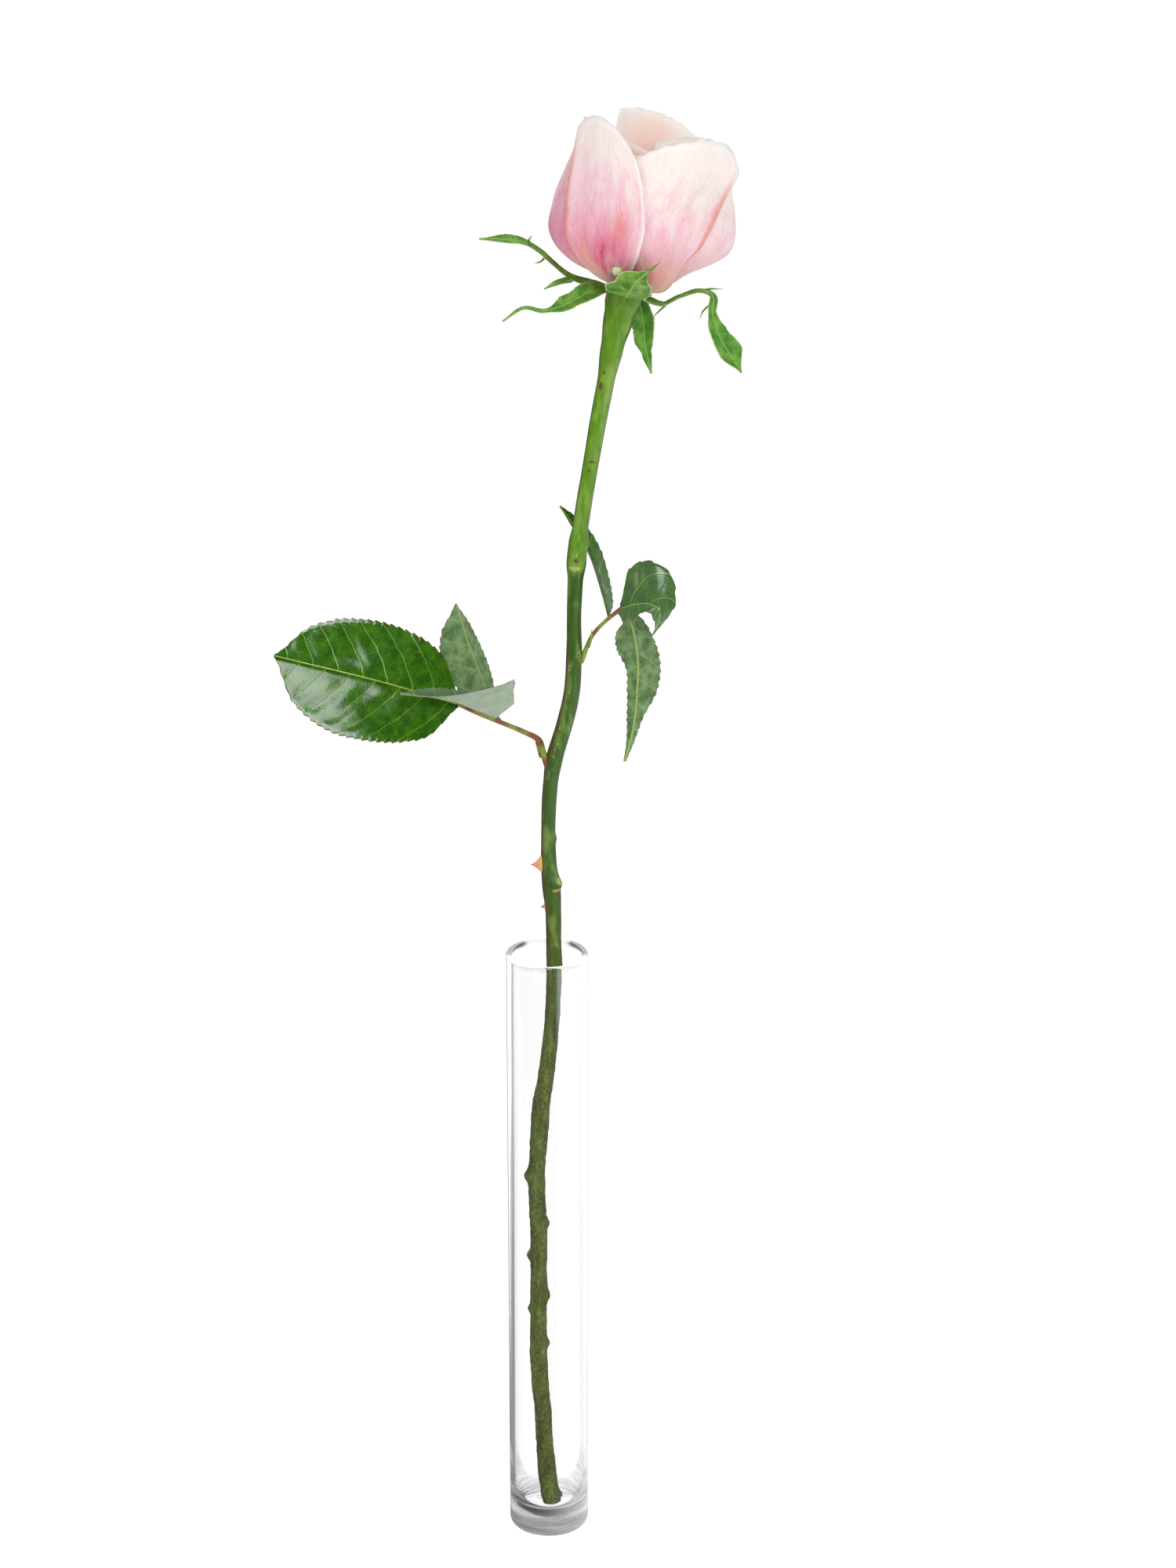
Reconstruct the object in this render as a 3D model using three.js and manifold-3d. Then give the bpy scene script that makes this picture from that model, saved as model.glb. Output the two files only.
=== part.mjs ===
// A single cut rose standing in a straight bud vase of clear glass.
// Millimetres, +Z up. The origin is the middle of the vase's foot, +X runs to the right as the
// rose is looked at, and +Y runs away from the onlooker.

import * as THREE from 'three';
import { mergeVertices } from 'three/addons/utils/BufferGeometryUtils.js';
import Module from 'manifold-3d';

const wasm = await Module();
wasm.setup();

const DEGREE = Math.PI / 180;
const GOLDEN_TURN = 137.5 * DEGREE;

// ---------------------------------------------------------------- driving sizes

// The vase: a glass tube with a thick floor, dished inside, and a fire-polished lip.
const VASE_HEIGHT = 237;
const VASE_RADIUS = 15;
const VASE_WALL = 1.8;
const VASE_FLOOR = 5.2;
const VASE_FOOT_ROUND = 2.5;
const VASE_DISH_ROUND = 12.5;
const VASE_SEGMENTS = 44;

// The stem: its middle line, from the cut foot up to the hip, and its radius by height.
const STEM_LINE = [
  [1.2, -2.4, 7.7], [-0.5, -3.6, 22], [-2.4, -2.4, 52], [-3.6, -1.3, 68], [-3.7, 0.5, 97],
  [-3.6, 2.1, 121], [-4.4, 3.7, 145], [-3.4, 4.7, 160], [-2.7, 5.4, 171], [0.6, 6.8, 193],
  [2.6, 8.4, 220], [2.4, 9.6, 238], [2.1, 10.8, 252], [0.8, 11.7, 266], [0.5, 12.6, 280],
  [1.4, 13.7, 298], [3, 14.4, 308], [6.5, 15.2, 320], [9, 15.9, 331], [10, 16.8, 345],
  [10, 17.8, 359], [10.5, 18.8, 374], [11.2, 19.4, 384], [13.2, 20.4, 399], [15.7, 21.4, 414],
  [18.3, 22.4, 429.5], [21.2, 23.2, 445], [23.4, 23.7, 457],
];
const STEM_RADIUS = [
  [7, 3.6], [22, 3.4], [35, 3.1], [68, 3.2], [97, 3.1], [150, 3.25], [168, 3.5], [193, 2.9],
  [226, 3], [238, 2.75], [247, 2.9], [257, 3.3], [269, 2.85], [278, 2.6], [298, 2.75],
  [306, 3.1], [318, 3], [345, 2.9], [359, 2.6], [373, 2.8], [380, 3.6], [387, 3.5], [393, 2.9],
  [414, 2.85], [445, 3.1], [457, 4.05], [469, 5.4], [474, 6.3], [480, 6.6],
];
const STEM_SIDES = 9;
const STEM_STEPS = 82;
const HIP_DEPTH = 2.3;      // from the head's origin down to the flat top of the hip
const HIP_NECK = 11;

// Knobs and old bud scars: how high, which way round (0 is +X, 90 is away), how far they stand
// out, and their half length.
const KNOBS = [
  { height: 144.5, turn: 190, out: 1.7, half: 3 },
  { height: 126, turn: -15, out: 1.2, half: 2.6 },
  { height: 113, turn: 185, out: 1.5, half: 2.4 },
  { height: 97, turn: -20, out: 1.6, half: 3.4 },
  { height: 91, turn: 175, out: 1.1, half: 2.2 },
  { height: 77, turn: 5, out: 1.2, half: 2.6 },
  { height: 12.5, turn: 0, out: 1, half: 2 },
  { height: 260, turn: -42, out: 1.7, half: 3.2 },
  { height: 277, turn: -12, out: 0.6, half: 2.2 },
  { height: 382, turn: 262, out: 0.9, half: 2.8 },
];
// Prickles: height, way round, length, half the length of the root along the stem, and how far
// the point lies above the middle of the root.
const PRICKLES = [
  { height: 267.3, turn: 196, length: 4.5, root: 5.2, rise: 0.3 },
  { height: 251, turn: 190, length: 2.1, root: 2.6, rise: -0.2 },
  { height: 208, turn: 100, length: 2, root: 2.6, rise: -0.4 },
  { height: 335, turn: 80, length: 3, root: 3.4, rise: -0.8 },
];
const PRICKLE_HALF_WIDTH = 1.3;
const PRICKLE_SUNK = 1.2;
const PRICKLE_HOLLOW = 1.5;   // how sharply the flanks sweep in to the point
const PRICKLE_SIDES = 8;
const PRICKLE_STEPS = 4;
const KNOB_SUNK = 0.8;

// The head: its origin is the middle of the bloom's base, and it leans right and back.
const HEAD_ORIGIN = [28.7, 26, 479.8];
const HEAD_LEAN_RIGHT = 14 * DEGREE;
const HEAD_LEAN_BACK = 12 * DEGREE;

// The bloom's outermost shell, as radius and height above the head's origin. Each petal lies on
// its own copy of this shell, drawn in towards the middle, so that no petal cuts another.
const SHELL = [
  [3, -1.6], [11, -1.3], [19.5, 0.6], [27, 5.5], [32.2, 13], [34, 23], [32.4, 33], [30.4, 41],
  [28.8, 50], [28.2, 62],
];
const SHELL_MIDDLE = 25;
const SHELL_STEP = 0.036;
const BASE_SHIFT = -6;      // the bloom's underside swings left of its axis
const BASE_SHIFT_TOP = 22;
const BASE_TILT = 1.8;      // and hangs lower on the right by this much at the shell's widest
const UPPER_SHIFT = -1.5;   // the rest of the bloom swings left a little
const BASE_TUCK = 5;        // the underside draws in on the right by this much
const TUCK_ACROSS = [8, 26];
const TUCK_UP = [8, 20];
const BELLY_TOP = 46;
const PETAL_THICKNESS = 0.7;
const OUTER_GRID = [9, 8];
// Each outer petal, from the outermost in. turn is the way round its middle (0 is +X, -90 faces
// the onlooker), spread its half width, drift how far it swings sideways towards the top and fan
// how much it widens there. apex is where across it the top is highest, height how high, and
// drops how far its left and right shoulders lie below. flare is how far the top rolls outward,
// curls how far its left and right edges lift, belly how far its middle swells, waist its width
// at the foot as a share of its width higher up and sway how far its foot swings sideways.
const OUTER_PETALS = [
  {
    turn: -100, spread: 27.3, drift: -31, fan: 0.1, waist: 0.4, sway: 0,
    apex: -0.35, height: 53.8, drops: [5, 12], flare: 0.5, curls: [0.5, 0.4], belly: 0,
  },
  {
    turn: -85, spread: 28, drift: 22, fan: 0.5, waist: 1.15, sway: 34,
    apex: 0.45, height: 55.8, drops: [14, 8], flare: 2.2, curls: [0, 1.4], belly: 0,
  },
  {
    turn: 176, spread: 62, drift: 0, fan: 0, waist: 0.55, sway: 0,
    apex: 0.1, height: 53, drops: [6, 4], flare: 0.6, curls: [0, 0], belly: -1,
  },
  {
    turn: -14, spread: 48, drift: 0, fan: 0, waist: 0.55, sway: 0,
    apex: 0, height: 50, drops: [4, 6], flare: 1.6, curls: [0, 0.8], belly: 4,
  },
  {
    turn: 84, spread: 44, drift: 0, fan: 0, waist: 0.55, sway: 0,
    apex: 0.35, height: 62, drops: [11, 2], flare: 1.2, curls: [0, 0], belly: 0,
  },
  {
    turn: 40, spread: 52, drift: 0, fan: 0, waist: 0.55, sway: 0,
    apex: 0.2, height: 56.8, drops: [5, 6], flare: 1, curls: [0, 0], belly: 0,
  },
  {
    turn: 152, spread: 48, drift: 0, fan: 0, waist: 0.55, sway: 0,
    apex: 0, height: 51.5, drops: [5, 4], flare: 0.3, curls: [0, 0], belly: 0,
  },
];
const INNER_PETALS = 13;
const INNER_FIRST_TURN = 215 * DEGREE;
const INNER_SPREAD = [50, 100];
const INNER_HEIGHT = [47, 41];
const INNER_BACK_RISE = 4;
const INNER_CLOSING = [0.05, 0.55];
const INNER_DROP = 5;
const INNER_WAIST = 0.55;
const INNER_GRID = [7, 5];
// The tight heart of the bloom, as radius and height.
const CORE = [[0, -2], [6.5, -2], [6.5, 6], [4.5, 20], [0, 24]];
const CORE_SIDES = 12;
const BEAD = { at: [-4.6, -25, 4.2], radius: 2 };

// The sepals, in the head's frame: middle line, half widths from root to tip, the way the
// blade faces at its root and tip, and its side lobes and threads as short tapered limbs.
const SEPAL_THICKNESS = 0.7;
const SEPAL_ROWS = 12;
const SEPAL_COLUMNS = 4;
const THREAD_SIDES = 5;
const THREAD_STEPS = 5;
const THREAD_TAPER = [1, 0.9, 0.6];
const SEPALS = {
  sepal_upper_left: {
    line: [
      [-6.5, 3.1, -3.4], [-20, 6, -2.6], [-27, 6, 0.5], [-33, 5.5, 3.6], [-40, 4, 5.2],
      [-54, 1, 2.6],
    ],
    widths: [3, 2.8, 1.6, 1.7, 2.4, 0.4],
    facing: [[0.1, -0.35, 1], [0.1, -0.7, 0.8]],
    fold: 12,
    threads: [
      { line: [[-19, 4, -3], [-24, 1, -5.5], [-28, -1, -9]], radius: 1.3 },
      { line: [[-36, 5, 4.4], [-37, 4, 6.6], [-36.2, 3, 8.4]], radius: 0.45 },
      { line: [[-30, 6, 2], [-31.5, 5, 0], [-33.5, 4, -1]], radius: 0.45 },
    ],
  },
  sepal_lower_left: {
    line: [
      [-6.1, -3.7, -3.4], [-12, -8, -6], [-19, -11, -12], [-26, -12, -16],
      [-33, -13, -16.6], [-39, -14, -22.8],
    ],
    widths: [2.6, 4.4, 3.8, 1, 0.8, 0.4],
    facing: [[-0.45, -0.75, 0.6], [-0.2, -0.8, 0.6]],
    fold: 14,
    threads: [],
  },
  sepal_front: {
    line: [[0.5, -7.1, -3.3], [0.5, -15, -4.4], [1, -24, -2.4], [2.5, -31, 2], [5.5, -34.5, 6.4]],
    widths: [3, 6.6, 8.4, 6.4, 0.6],
    facing: [[0, 0.1, 1], [-0.15, 0.9, 0.4]],
    fold: 8,
    threads: [{ line: [[5.2, -34.2, 6], [7.2, -35.2, 8.4], [8.9, -35.6, 10.8]], radius: 0.45 }],
  },
  sepal_right: {
    line: [
      [6.7, -2.4, -3.4], [13.7, -6, -4], [19, -9, 0.2], [25, -12, 3.8], [29.6, -14, 3.2],
      [30.6, -15, -2], [34.6, -17, -9], [45.6, -19, -19.8],
    ],
    widths: [2.8, 2.3, 1.8, 1.6, 1.8, 4, 6, 0.5],
    facing: [[0, -0.4, 1], [0.55, -0.75, 0.35]],
    fold: 12,
    threads: [
      { line: [[15, -7, -3.4], [12.5, -9, -7], [11, -10, -9.4]], radius: 0.45 },
      { line: [[23, -11, 3], [28, -12, 5.4], [33, -12.5, 6.6]], radius: 0.45 },
      { line: [[30, -14.4, 1], [27.6, -14.6, -2.6], [27.2, -14.8, -5.6]], radius: 0.45 },
    ],
  },
  sepal_back: {
    line: [[5.7, 5.5, -4.2], [8.8, 7, -11], [11.2, 7, -18], [13.4, 6, -23], [16, 5, -28.4]],
    widths: [2.8, 4.4, 4, 1.9, 0.5],
    facing: [[-0.35, -0.9, 0.2], [-0.5, -0.8, 0.1]],
    fold: 14,
    threads: [],
  },
};

// The leaves: a stalk line with its radii, and three toothed leaflets each. A leaflet has its
// rib line, its half widths from root to tip to the left and right of the rib as seen from above
// with the tip ahead, the way its upper face looks at its root and tip, how far its halves fold
// up there, in degrees, and how far the lobes of its base reach back past its root, if they do.
const LEAF_THICKNESS = 0.6;
const LEAF_ROWS = 24;
const LEAF_COLUMNS = 4;
const TOOTH = 0.9;
const TOOTH_FULL = 5;       // half width past which the teeth have their full size
const TOOTH_LEAN = 0.35;    // of a row, towards the tip
const STALK_SIDES = 6;
const STALK_STEPS = 18;
const STIPULE_RADII = [0.7, 0.55, 0.35];
const LEAVES = {
  leaf_lower_left: {
    stalk: [
      [-1.9, 13.2, 306.5], [-1.4, 12.4, 310], [-2.8, 9.6, 316], [-8, 7, 320], [-18.4, 3, 326],
      [-31.7, -2, 333.8],
    ],
    stalkRadii: [1.3, 1.2, 0.9, 0.8, 0.9, 0.7],
    leaflets: [
      {
        rib: [[-30.5, -1.6, 333.2], [-57, -7, 343.5], [-95.8, -12, 355.3]],
        left: [0.5, 14, 19, 21.5, 22.5, 22.3, 19.5, 13.5, 0.5],
        right: [0.5, 13, 18, 20, 20.5, 19.5, 17, 11.5, 0.5],
        facing: [[0, -0.85, 0.52], [0.1, -0.9, 0.4]],
        fold: [6, 6],
      },
      {
        rib: [[-18.4, 3, 326.6], [-22.6, 5.5, 339], [-27.6, 9, 351.6], [-32.3, 12, 366.8]],
        left: [0.5, 6, 9, 10, 9, 6, 0.5],
        right: [0.5, 5, 10, 12.5, 11.5, 8, 0.5],
        facing: [[-0.68, 0.6, -0.2], [-0.72, 0.55, -0.2]],
        fold: [20, 20],
      },
      {
        rib: [
          [-18.4, 3, 326.4], [-23.7, 0.5, 330.2], [-29.9, -5, 335.1], [-37.8, -10, 338.9],
          [-44.5, -14, 341.3], [-51, -17, 343],
        ],
        left: [9, 17.5, 13, 8.5, 5.5, 3, 0.5],
        right: [1, 6, 5.5, 4.5, 3.5, 2, 0.5],
        facing: [[0.4, 0.45, 0.8], [0.1, -0.5, 0.85]],
        fold: [66, 24],
        lobe: 3,
      },
    ],
    stipules: [
      [[-2, 12.6, 308], [-3.2, 11, 313], [-4.4, 9, 318.5]],
      [[-1.8, 12.4, 308], [-1.5, 9.8, 312.5], [-2, 7.6, 317.4]],
    ],
  },
  leaf_upper_right: {
    stalk: [[14.4, 16.6, 347], [17, 16, 353.6], [20.9, 15.4, 358.8], [27, 14.8, 364.2]],
    stalkRadii: [1.2, 0.9, 0.8, 0.9],
    leaflets: [
      {
        rib: [
          [26.4, 14.6, 363.8], [29.6, 11, 361.8], [32.1, 6, 353.5], [32.9, 4, 345.4],
          [32.6, 3, 338], [32, 2, 328.7], [30.4, 1.2, 319.3], [28.2, 0.8, 311],
        ],
        left: [2, 8, 9, 5.5, 4.7, 4, 2.2, 0.5],
        right: [2, 7.5, 10, 11, 9.5, 4, 2, 0.5],
        facing: [[-0.1, 0.9, -0.3], [0.1, 1, 0]],
        fold: [42, 42],
      },
      {
        rib: [[22.6, 15.4, 360.6], [20, 23, 368.5], [16.4, 30, 378], [12, 33, 386.6], [5.1, 33, 397]],
        left: [0.5, 7, 9.3, 9, 6.5, 3.5, 0.5],
        right: [0.5, 7, 9.3, 9, 6.5, 3.5, 0.5],
        facing: [[0.95, -0.15, 0.1], [0.9, -0.35, 0.2]],
        fold: [14, 14],
      },
      {
        rib: [
          [26.6, 14.6, 364.2], [32.3, 10, 367.3], [37, 6, 368.6], [40, 3.5, 367.4], [40.4, 3, 363.6],
          [38.4, 4, 357.7],
        ],
        left: [2, 12.5, 16, 14, 7, 2.5, 0.5],
        right: [1, 5, 7, 6, 5, 3, 0.5],
        facing: [[-0.25, -0.75, 0.65], [0.9, -0.4, 0.2]],
        fold: [10, 10],
      },
    ],
    stipules: [[[15, 16, 349], [16, 13.4, 353], [16.4, 11.6, 357.4]]],
  },
};

// ---------------------------------------------------------------- shaping helpers

const vector = ([x, y, z]) => new THREE.Vector3(x, y, z);
const curveThrough = (points) => new THREE.CatmullRomCurve3(points.map(vector), false, 'centripetal');
const mix = ([first, last], share) => first + (last - first) * share;
const ramp = THREE.MathUtils.smoothstep;

/** Reads a table of [place, value] pairs at any place, easing from one pair to the next. */
function eased(table, place) {
  const next = table.findIndex(([at]) => at >= place);
  if (next === 0) return table[0][1];
  if (next === -1) return table[table.length - 1][1];
  const [low, lowValue] = table[next - 1];
  const [high, highValue] = table[next];
  return lowValue + (highValue - lowValue) * ramp(place, low, high);
}

/** Spaces a list of values evenly from 0 to 1, as a table for eased(). */
const evenly = (values) => values.map((value, index) => [index / (values.length - 1), value]);

/** A closed round limb along a curve: a cylinder's vertices bent along it. */
function limb(curve, sides, steps, radiusAt) {
  const geometry = new THREE.CylinderGeometry(1, 1, 1, sides, steps);
  const frames = curve.computeFrenetFrames(steps, false);
  const position = geometry.attributes.position;
  const vertex = new THREE.Vector3();
  for (let index = 0; index < position.count; index += 1) {
    vertex.fromBufferAttribute(position, index);
    const share = THREE.MathUtils.clamp(vertex.y + 0.5, 0, 1);
    const ring = Math.round(share * steps);
    const centre = curve.getPointAt(share);
    const radius = radiusAt(share, centre);
    centre.addScaledVector(frames.binormals[ring], vertex.x * radius);
    centre.addScaledVector(frames.normals[ring], vertex.z * radius);
    position.setXYZ(index, centre.x, centre.y, centre.z);
  }
  return geometry;
}

/**
 * A thin closed blade. surface(u, v) gives its middle surface, with u from root to tip and v
 * from -1 to 1 across. Both faces are split into triangles alike.
 */
function blade(rows, columns, thickness, surface) {
  const at = (row, column) => surface(row / rows, (2 * column) / columns - 1, row);
  const across = columns + 1;
  const back = (rows + 1) * across;
  const front = [];
  const rear = [];
  for (let row = 0; row <= rows; row += 1) {
    for (let column = 0; column <= columns; column += 1) {
      const middle = at(row, column);
      const along = at(Math.min(row + 1, rows), column).sub(at(Math.max(row - 1, 0), column));
      const side = at(row, Math.min(column + 1, columns)).sub(at(row, Math.max(column - 1, 0)));
      const lift = along.cross(side).normalize().multiplyScalar(thickness / 2);
      front.push(...middle.clone().add(lift).toArray());
      rear.push(...middle.clone().sub(lift).toArray());
    }
  }
  const faces = [];
  const wall = (from, to) => faces.push(to, from, from + back, to, from + back, to + back);
  for (let row = 0; row < rows; row += 1) {
    for (let column = 0; column < columns; column += 1) {
      const a = row * across + column;
      const b = a + across;
      faces.push(a, b, b + 1, a, b + 1, a + 1);
      faces.push(a + back, b + 1 + back, b + back, a + back, a + 1 + back, b + 1 + back);
    }
    wall(row * across, (row + 1) * across);
    wall((row + 1) * across + columns, row * across + columns);
  }
  for (let column = 0; column < columns; column += 1) {
    wall(column + 1, column);
    wall(rows * across + column, rows * across + column + 1);
  }
  const geometry = new THREE.BufferGeometry();
  geometry.setAttribute('position', new THREE.Float32BufferAttribute([...front, ...rear], 3));
  geometry.setIndex(faces);
  return geometry;
}

/** Joins overlapping closed shapes into one closed shape. */
function fuse(geometries) {
  const solids = geometries.map((geometry) => {
    const bare = geometry.clone();
    bare.deleteAttribute('normal');
    bare.deleteAttribute('uv');
    const merged = mergeVertices(bare, 1e-4);
    return new wasm.Manifold(new wasm.Mesh({
      numProp: 3,
      vertProperties: new Float32Array(merged.attributes.position.array),
      triVerts: new Uint32Array(merged.index.array),
    }));
  });
  const whole = solids.reduce((joined, solid) => joined.add(solid)).getMesh();
  const geometry = new THREE.BufferGeometry();
  geometry.setAttribute('position', new THREE.BufferAttribute(whole.vertProperties, 3));
  geometry.setIndex(new THREE.BufferAttribute(whole.triVerts, 1));
  geometry.computeVertexNormals();
  return geometry;
}

/** A small rounded swelling: a ball stretched along one direction. */
function swelling(centre, direction, halfLength, radius) {
  const geometry = new THREE.IcosahedronGeometry(1, 1);
  geometry.scale(radius, halfLength, radius);
  const turn = new THREE.Quaternion().setFromUnitVectors(new THREE.Vector3(0, 1, 0), direction);
  geometry.applyQuaternion(turn);
  geometry.translate(centre.x, centre.y, centre.z);
  return geometry;
}

// ---------------------------------------------------------------- vase

function vaseGeometry() {
  const lip = VASE_WALL / 2;
  const inside = VASE_RADIUS - VASE_WALL;
  const dish = VASE_DISH_ROUND;
  const foot = VASE_RADIUS - VASE_FOOT_ROUND;
  const profile = new THREE.Path();
  profile.moveTo(0, 0);
  profile.lineTo(foot, 0);
  profile.absarc(foot, VASE_FOOT_ROUND, VASE_FOOT_ROUND, -Math.PI / 2, 0, false);
  profile.lineTo(VASE_RADIUS, VASE_HEIGHT - lip);
  profile.absarc(VASE_RADIUS - lip, VASE_HEIGHT - lip, lip, 0, Math.PI, false);
  profile.lineTo(inside, VASE_FLOOR + dish);
  profile.absarc(inside - dish, VASE_FLOOR + dish, dish, 0, -Math.PI / 2, true);
  profile.lineTo(0, VASE_FLOOR);
  const geometry = new THREE.LatheGeometry(profile.getPoints(3), VASE_SEGMENTS);
  geometry.rotateX(Math.PI / 2);
  return geometry;
}

// ---------------------------------------------------------------- stem

function headTurn() {
  return new THREE.Euler(-HEAD_LEAN_BACK, HEAD_LEAN_RIGHT, 0);
}

function stemCurve() {
  const axis = new THREE.Vector3(0, 0, 1).applyEuler(headTurn());
  const hipTop = vector(HEAD_ORIGIN).addScaledVector(axis, -HIP_DEPTH);
  const neck = vector(HEAD_ORIGIN).addScaledVector(axis, -HIP_NECK);
  const line = [...STEM_LINE, neck.toArray(), hipTop.toArray()];
  return curveThrough(line);
}

/** The point on the stem's middle line at a height, with the line's direction there. */
function stemAt(curve, height) {
  let low = 0;
  let high = 1;
  for (let pass = 0; pass < 24; pass += 1) {
    const middle = (low + high) / 2;
    if (curve.getPointAt(middle).z < height) low = middle;
    else high = middle;
  }
  return { centre: curve.getPointAt(low), direction: curve.getTangentAt(low) };
}

/** A flattened hooked cone, its root sunk in the stem and long in the stem's direction. */
function prickleGeometry(curve, { height, turn, length, root, rise }) {
  const geometry = new THREE.ConeGeometry(1, 1, PRICKLE_SIDES, PRICKLE_STEPS);
  const { centre, direction } = stemAt(curve, height);
  const outward = new THREE.Vector3(Math.cos(turn * DEGREE), Math.sin(turn * DEGREE), 0);
  const across = direction.clone().cross(outward).normalize();
  const start = eased(STEM_RADIUS, height) - PRICKLE_SUNK;
  const position = geometry.attributes.position;
  for (let index = 0; index < position.count; index += 1) {
    const out = position.getY(index) + 0.5;
    const swept = Math.max(1 - out, 1e-3) ** (PRICKLE_HOLLOW - 1);
    const vertex = centre.clone();
    vertex.addScaledVector(outward, start + out * (length + PRICKLE_SUNK));
    vertex.addScaledVector(across, position.getX(index) * swept * PRICKLE_HALF_WIDTH);
    vertex.addScaledVector(direction, -position.getZ(index) * swept * root + rise * out * out);
    position.setXYZ(index, vertex.x, vertex.y, vertex.z);
  }
  return geometry;
}

function stemGeometry() {
  const curve = stemCurve();
  const pieces = [limb(curve, STEM_SIDES, STEM_STEPS, (share, centre) => eased(STEM_RADIUS, centre.z))];
  for (const { height, turn, out, half } of KNOBS) {
    const { centre, direction } = stemAt(curve, height);
    const outward = new THREE.Vector3(Math.cos(turn * DEGREE), Math.sin(turn * DEGREE), 0);
    const radius = out + KNOB_SUNK;
    centre.addScaledVector(outward, eased(STEM_RADIUS, height) + out - radius);
    pieces.push(swelling(centre, direction, half, radius));
  }
  for (const prickle of PRICKLES) pieces.push(prickleGeometry(curve, prickle));
  return fuse(pieces);
}

// ---------------------------------------------------------------- bloom

const outlineOf = (table) => table.map(([radius, height]) => new THREE.Vector2(radius, height));
const shellCurve = new THREE.SplineCurve(outlineOf(SHELL));

/** How far along the shell a height lies, from 0 at the claw to 1 at the top. */
function shellReach(height) {
  let low = 0.3;
  let high = 1;
  for (let pass = 0; pass < 20; pass += 1) {
    const middle = (low + high) / 2;
    if (shellCurve.getPoint(middle).y < height) low = middle;
    else high = middle;
  }
  return low;
}

/** The middle surface of one petal on the shell drawn in by its size. */
function petalSurface({
  turn, spread, drift, fan, waist, sway, apex, height, drops, flare, curls, belly, size, closing,
}) {
  return (u, v) => {
    const off = v - apex;
    const drop = off < 0 ? drops[0] * (off / (1 + apex)) ** 2 : drops[1] * (off / (1 - apex)) ** 2;
    const along = u * shellReach(height - drop);
    const { x: shellRadius, y: shellHeight } = shellCurve.getPoint(along);
    const rise = Math.min(shellHeight, SHELL_MIDDLE);
    const z = shellHeight + (SHELL_MIDDLE - rise) * (1 - size);
    const top = ramp(u, 0.6, 1);
    const side = v < 0 ? curls[0] : curls[1];
    const curl = side * ramp(Math.abs(v), 0.55, 1) * ramp(u, 0.15, 0.5);
    const bellied = Math.sin(Math.PI * Math.min(Math.max(z / BELLY_TOP, 0), 1));
    const swell = belly * (1 - v * v) * bellied;
    const rolled = flare * ramp(u, 0.78, 1) ** 2 + curl + swell;
    const radius = shellRadius * size * (1 - closing * top) + rolled;
    const width = waist + (1 - waist) * ramp(u, 0.05, 0.55) + fan * ramp(u, 0.5, 1);
    const middle = turn + drift * u * u + sway * (1 - ramp(u, 0.2, 0.65));
    const angle = middle + v * spread * width;
    const lifted = ramp(z, 0, BASE_SHIFT_TOP);
    const widest = SHELL[5][0];
    const shift = BASE_SHIFT * (radius / widest) * (1 - lifted) + UPPER_SHIFT * lifted;
    const x = radius * Math.cos(angle) + shift;
    const tilt = BASE_TILT * (x / widest) * (1 - lifted);
    const tuck = BASE_TUCK * ramp(x, ...TUCK_ACROSS) * (1 - ramp(z, ...TUCK_UP));
    return new THREE.Vector3(x - tuck, radius * Math.sin(angle), z - tilt);
  };
}

function bloomGeometry() {
  const pieces = [];
  OUTER_PETALS.forEach((petal, layer) => {
    pieces.push(blade(...OUTER_GRID, PETAL_THICKNESS, petalSurface({
      ...petal,
      turn: petal.turn * DEGREE,
      spread: petal.spread * DEGREE,
      drift: petal.drift * DEGREE,
      sway: petal.sway * DEGREE,
      size: 1 - layer * SHELL_STEP,
      closing: 0,
    })));
  });
  for (let layer = 0; layer < INNER_PETALS; layer += 1) {
    const share = layer / (INNER_PETALS - 1);
    const turn = INNER_FIRST_TURN + layer * GOLDEN_TURN;
    pieces.push(blade(...INNER_GRID, PETAL_THICKNESS, petalSurface({
      turn,
      spread: mix(INNER_SPREAD, share) * DEGREE,
      drift: 0,
      fan: 0,
      waist: INNER_WAIST,
      sway: 0,
      apex: 0,
      height: mix(INNER_HEIGHT, share) + INNER_BACK_RISE * Math.sin(turn) * (1 - share),
      drops: [INNER_DROP, INNER_DROP],
      flare: 0,
      curls: [0, 0],
      belly: 0,
      size: 1 - (OUTER_PETALS.length + layer) * SHELL_STEP,
      closing: mix(INNER_CLOSING, share),
    })));
  }
  const core = new THREE.LatheGeometry(outlineOf(CORE), CORE_SIDES);
  core.rotateX(Math.PI / 2);
  pieces.push(core);
  pieces.push(swelling(vector(BEAD.at), new THREE.Vector3(0, 0, 1), BEAD.radius, BEAD.radius));
  return fuse(pieces);
}

// ---------------------------------------------------------------- blades along a line

/**
 * A frame that follows a line while the way it faces turns from one direction to another:
 * gives the point and the directions along the line, out of the face and sideways at a share of
 * the length.
 */
function followingFrame(curve, facing) {
  const [first, last] = facing.map(vector);
  return (share) => {
    const along = curve.getTangentAt(share);
    const face = first.clone().lerp(last, share);
    face.addScaledVector(along, -face.dot(along)).normalize();
    return { point: curve.getPointAt(share), along, face, side: face.clone().cross(along) };
  };
}

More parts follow.
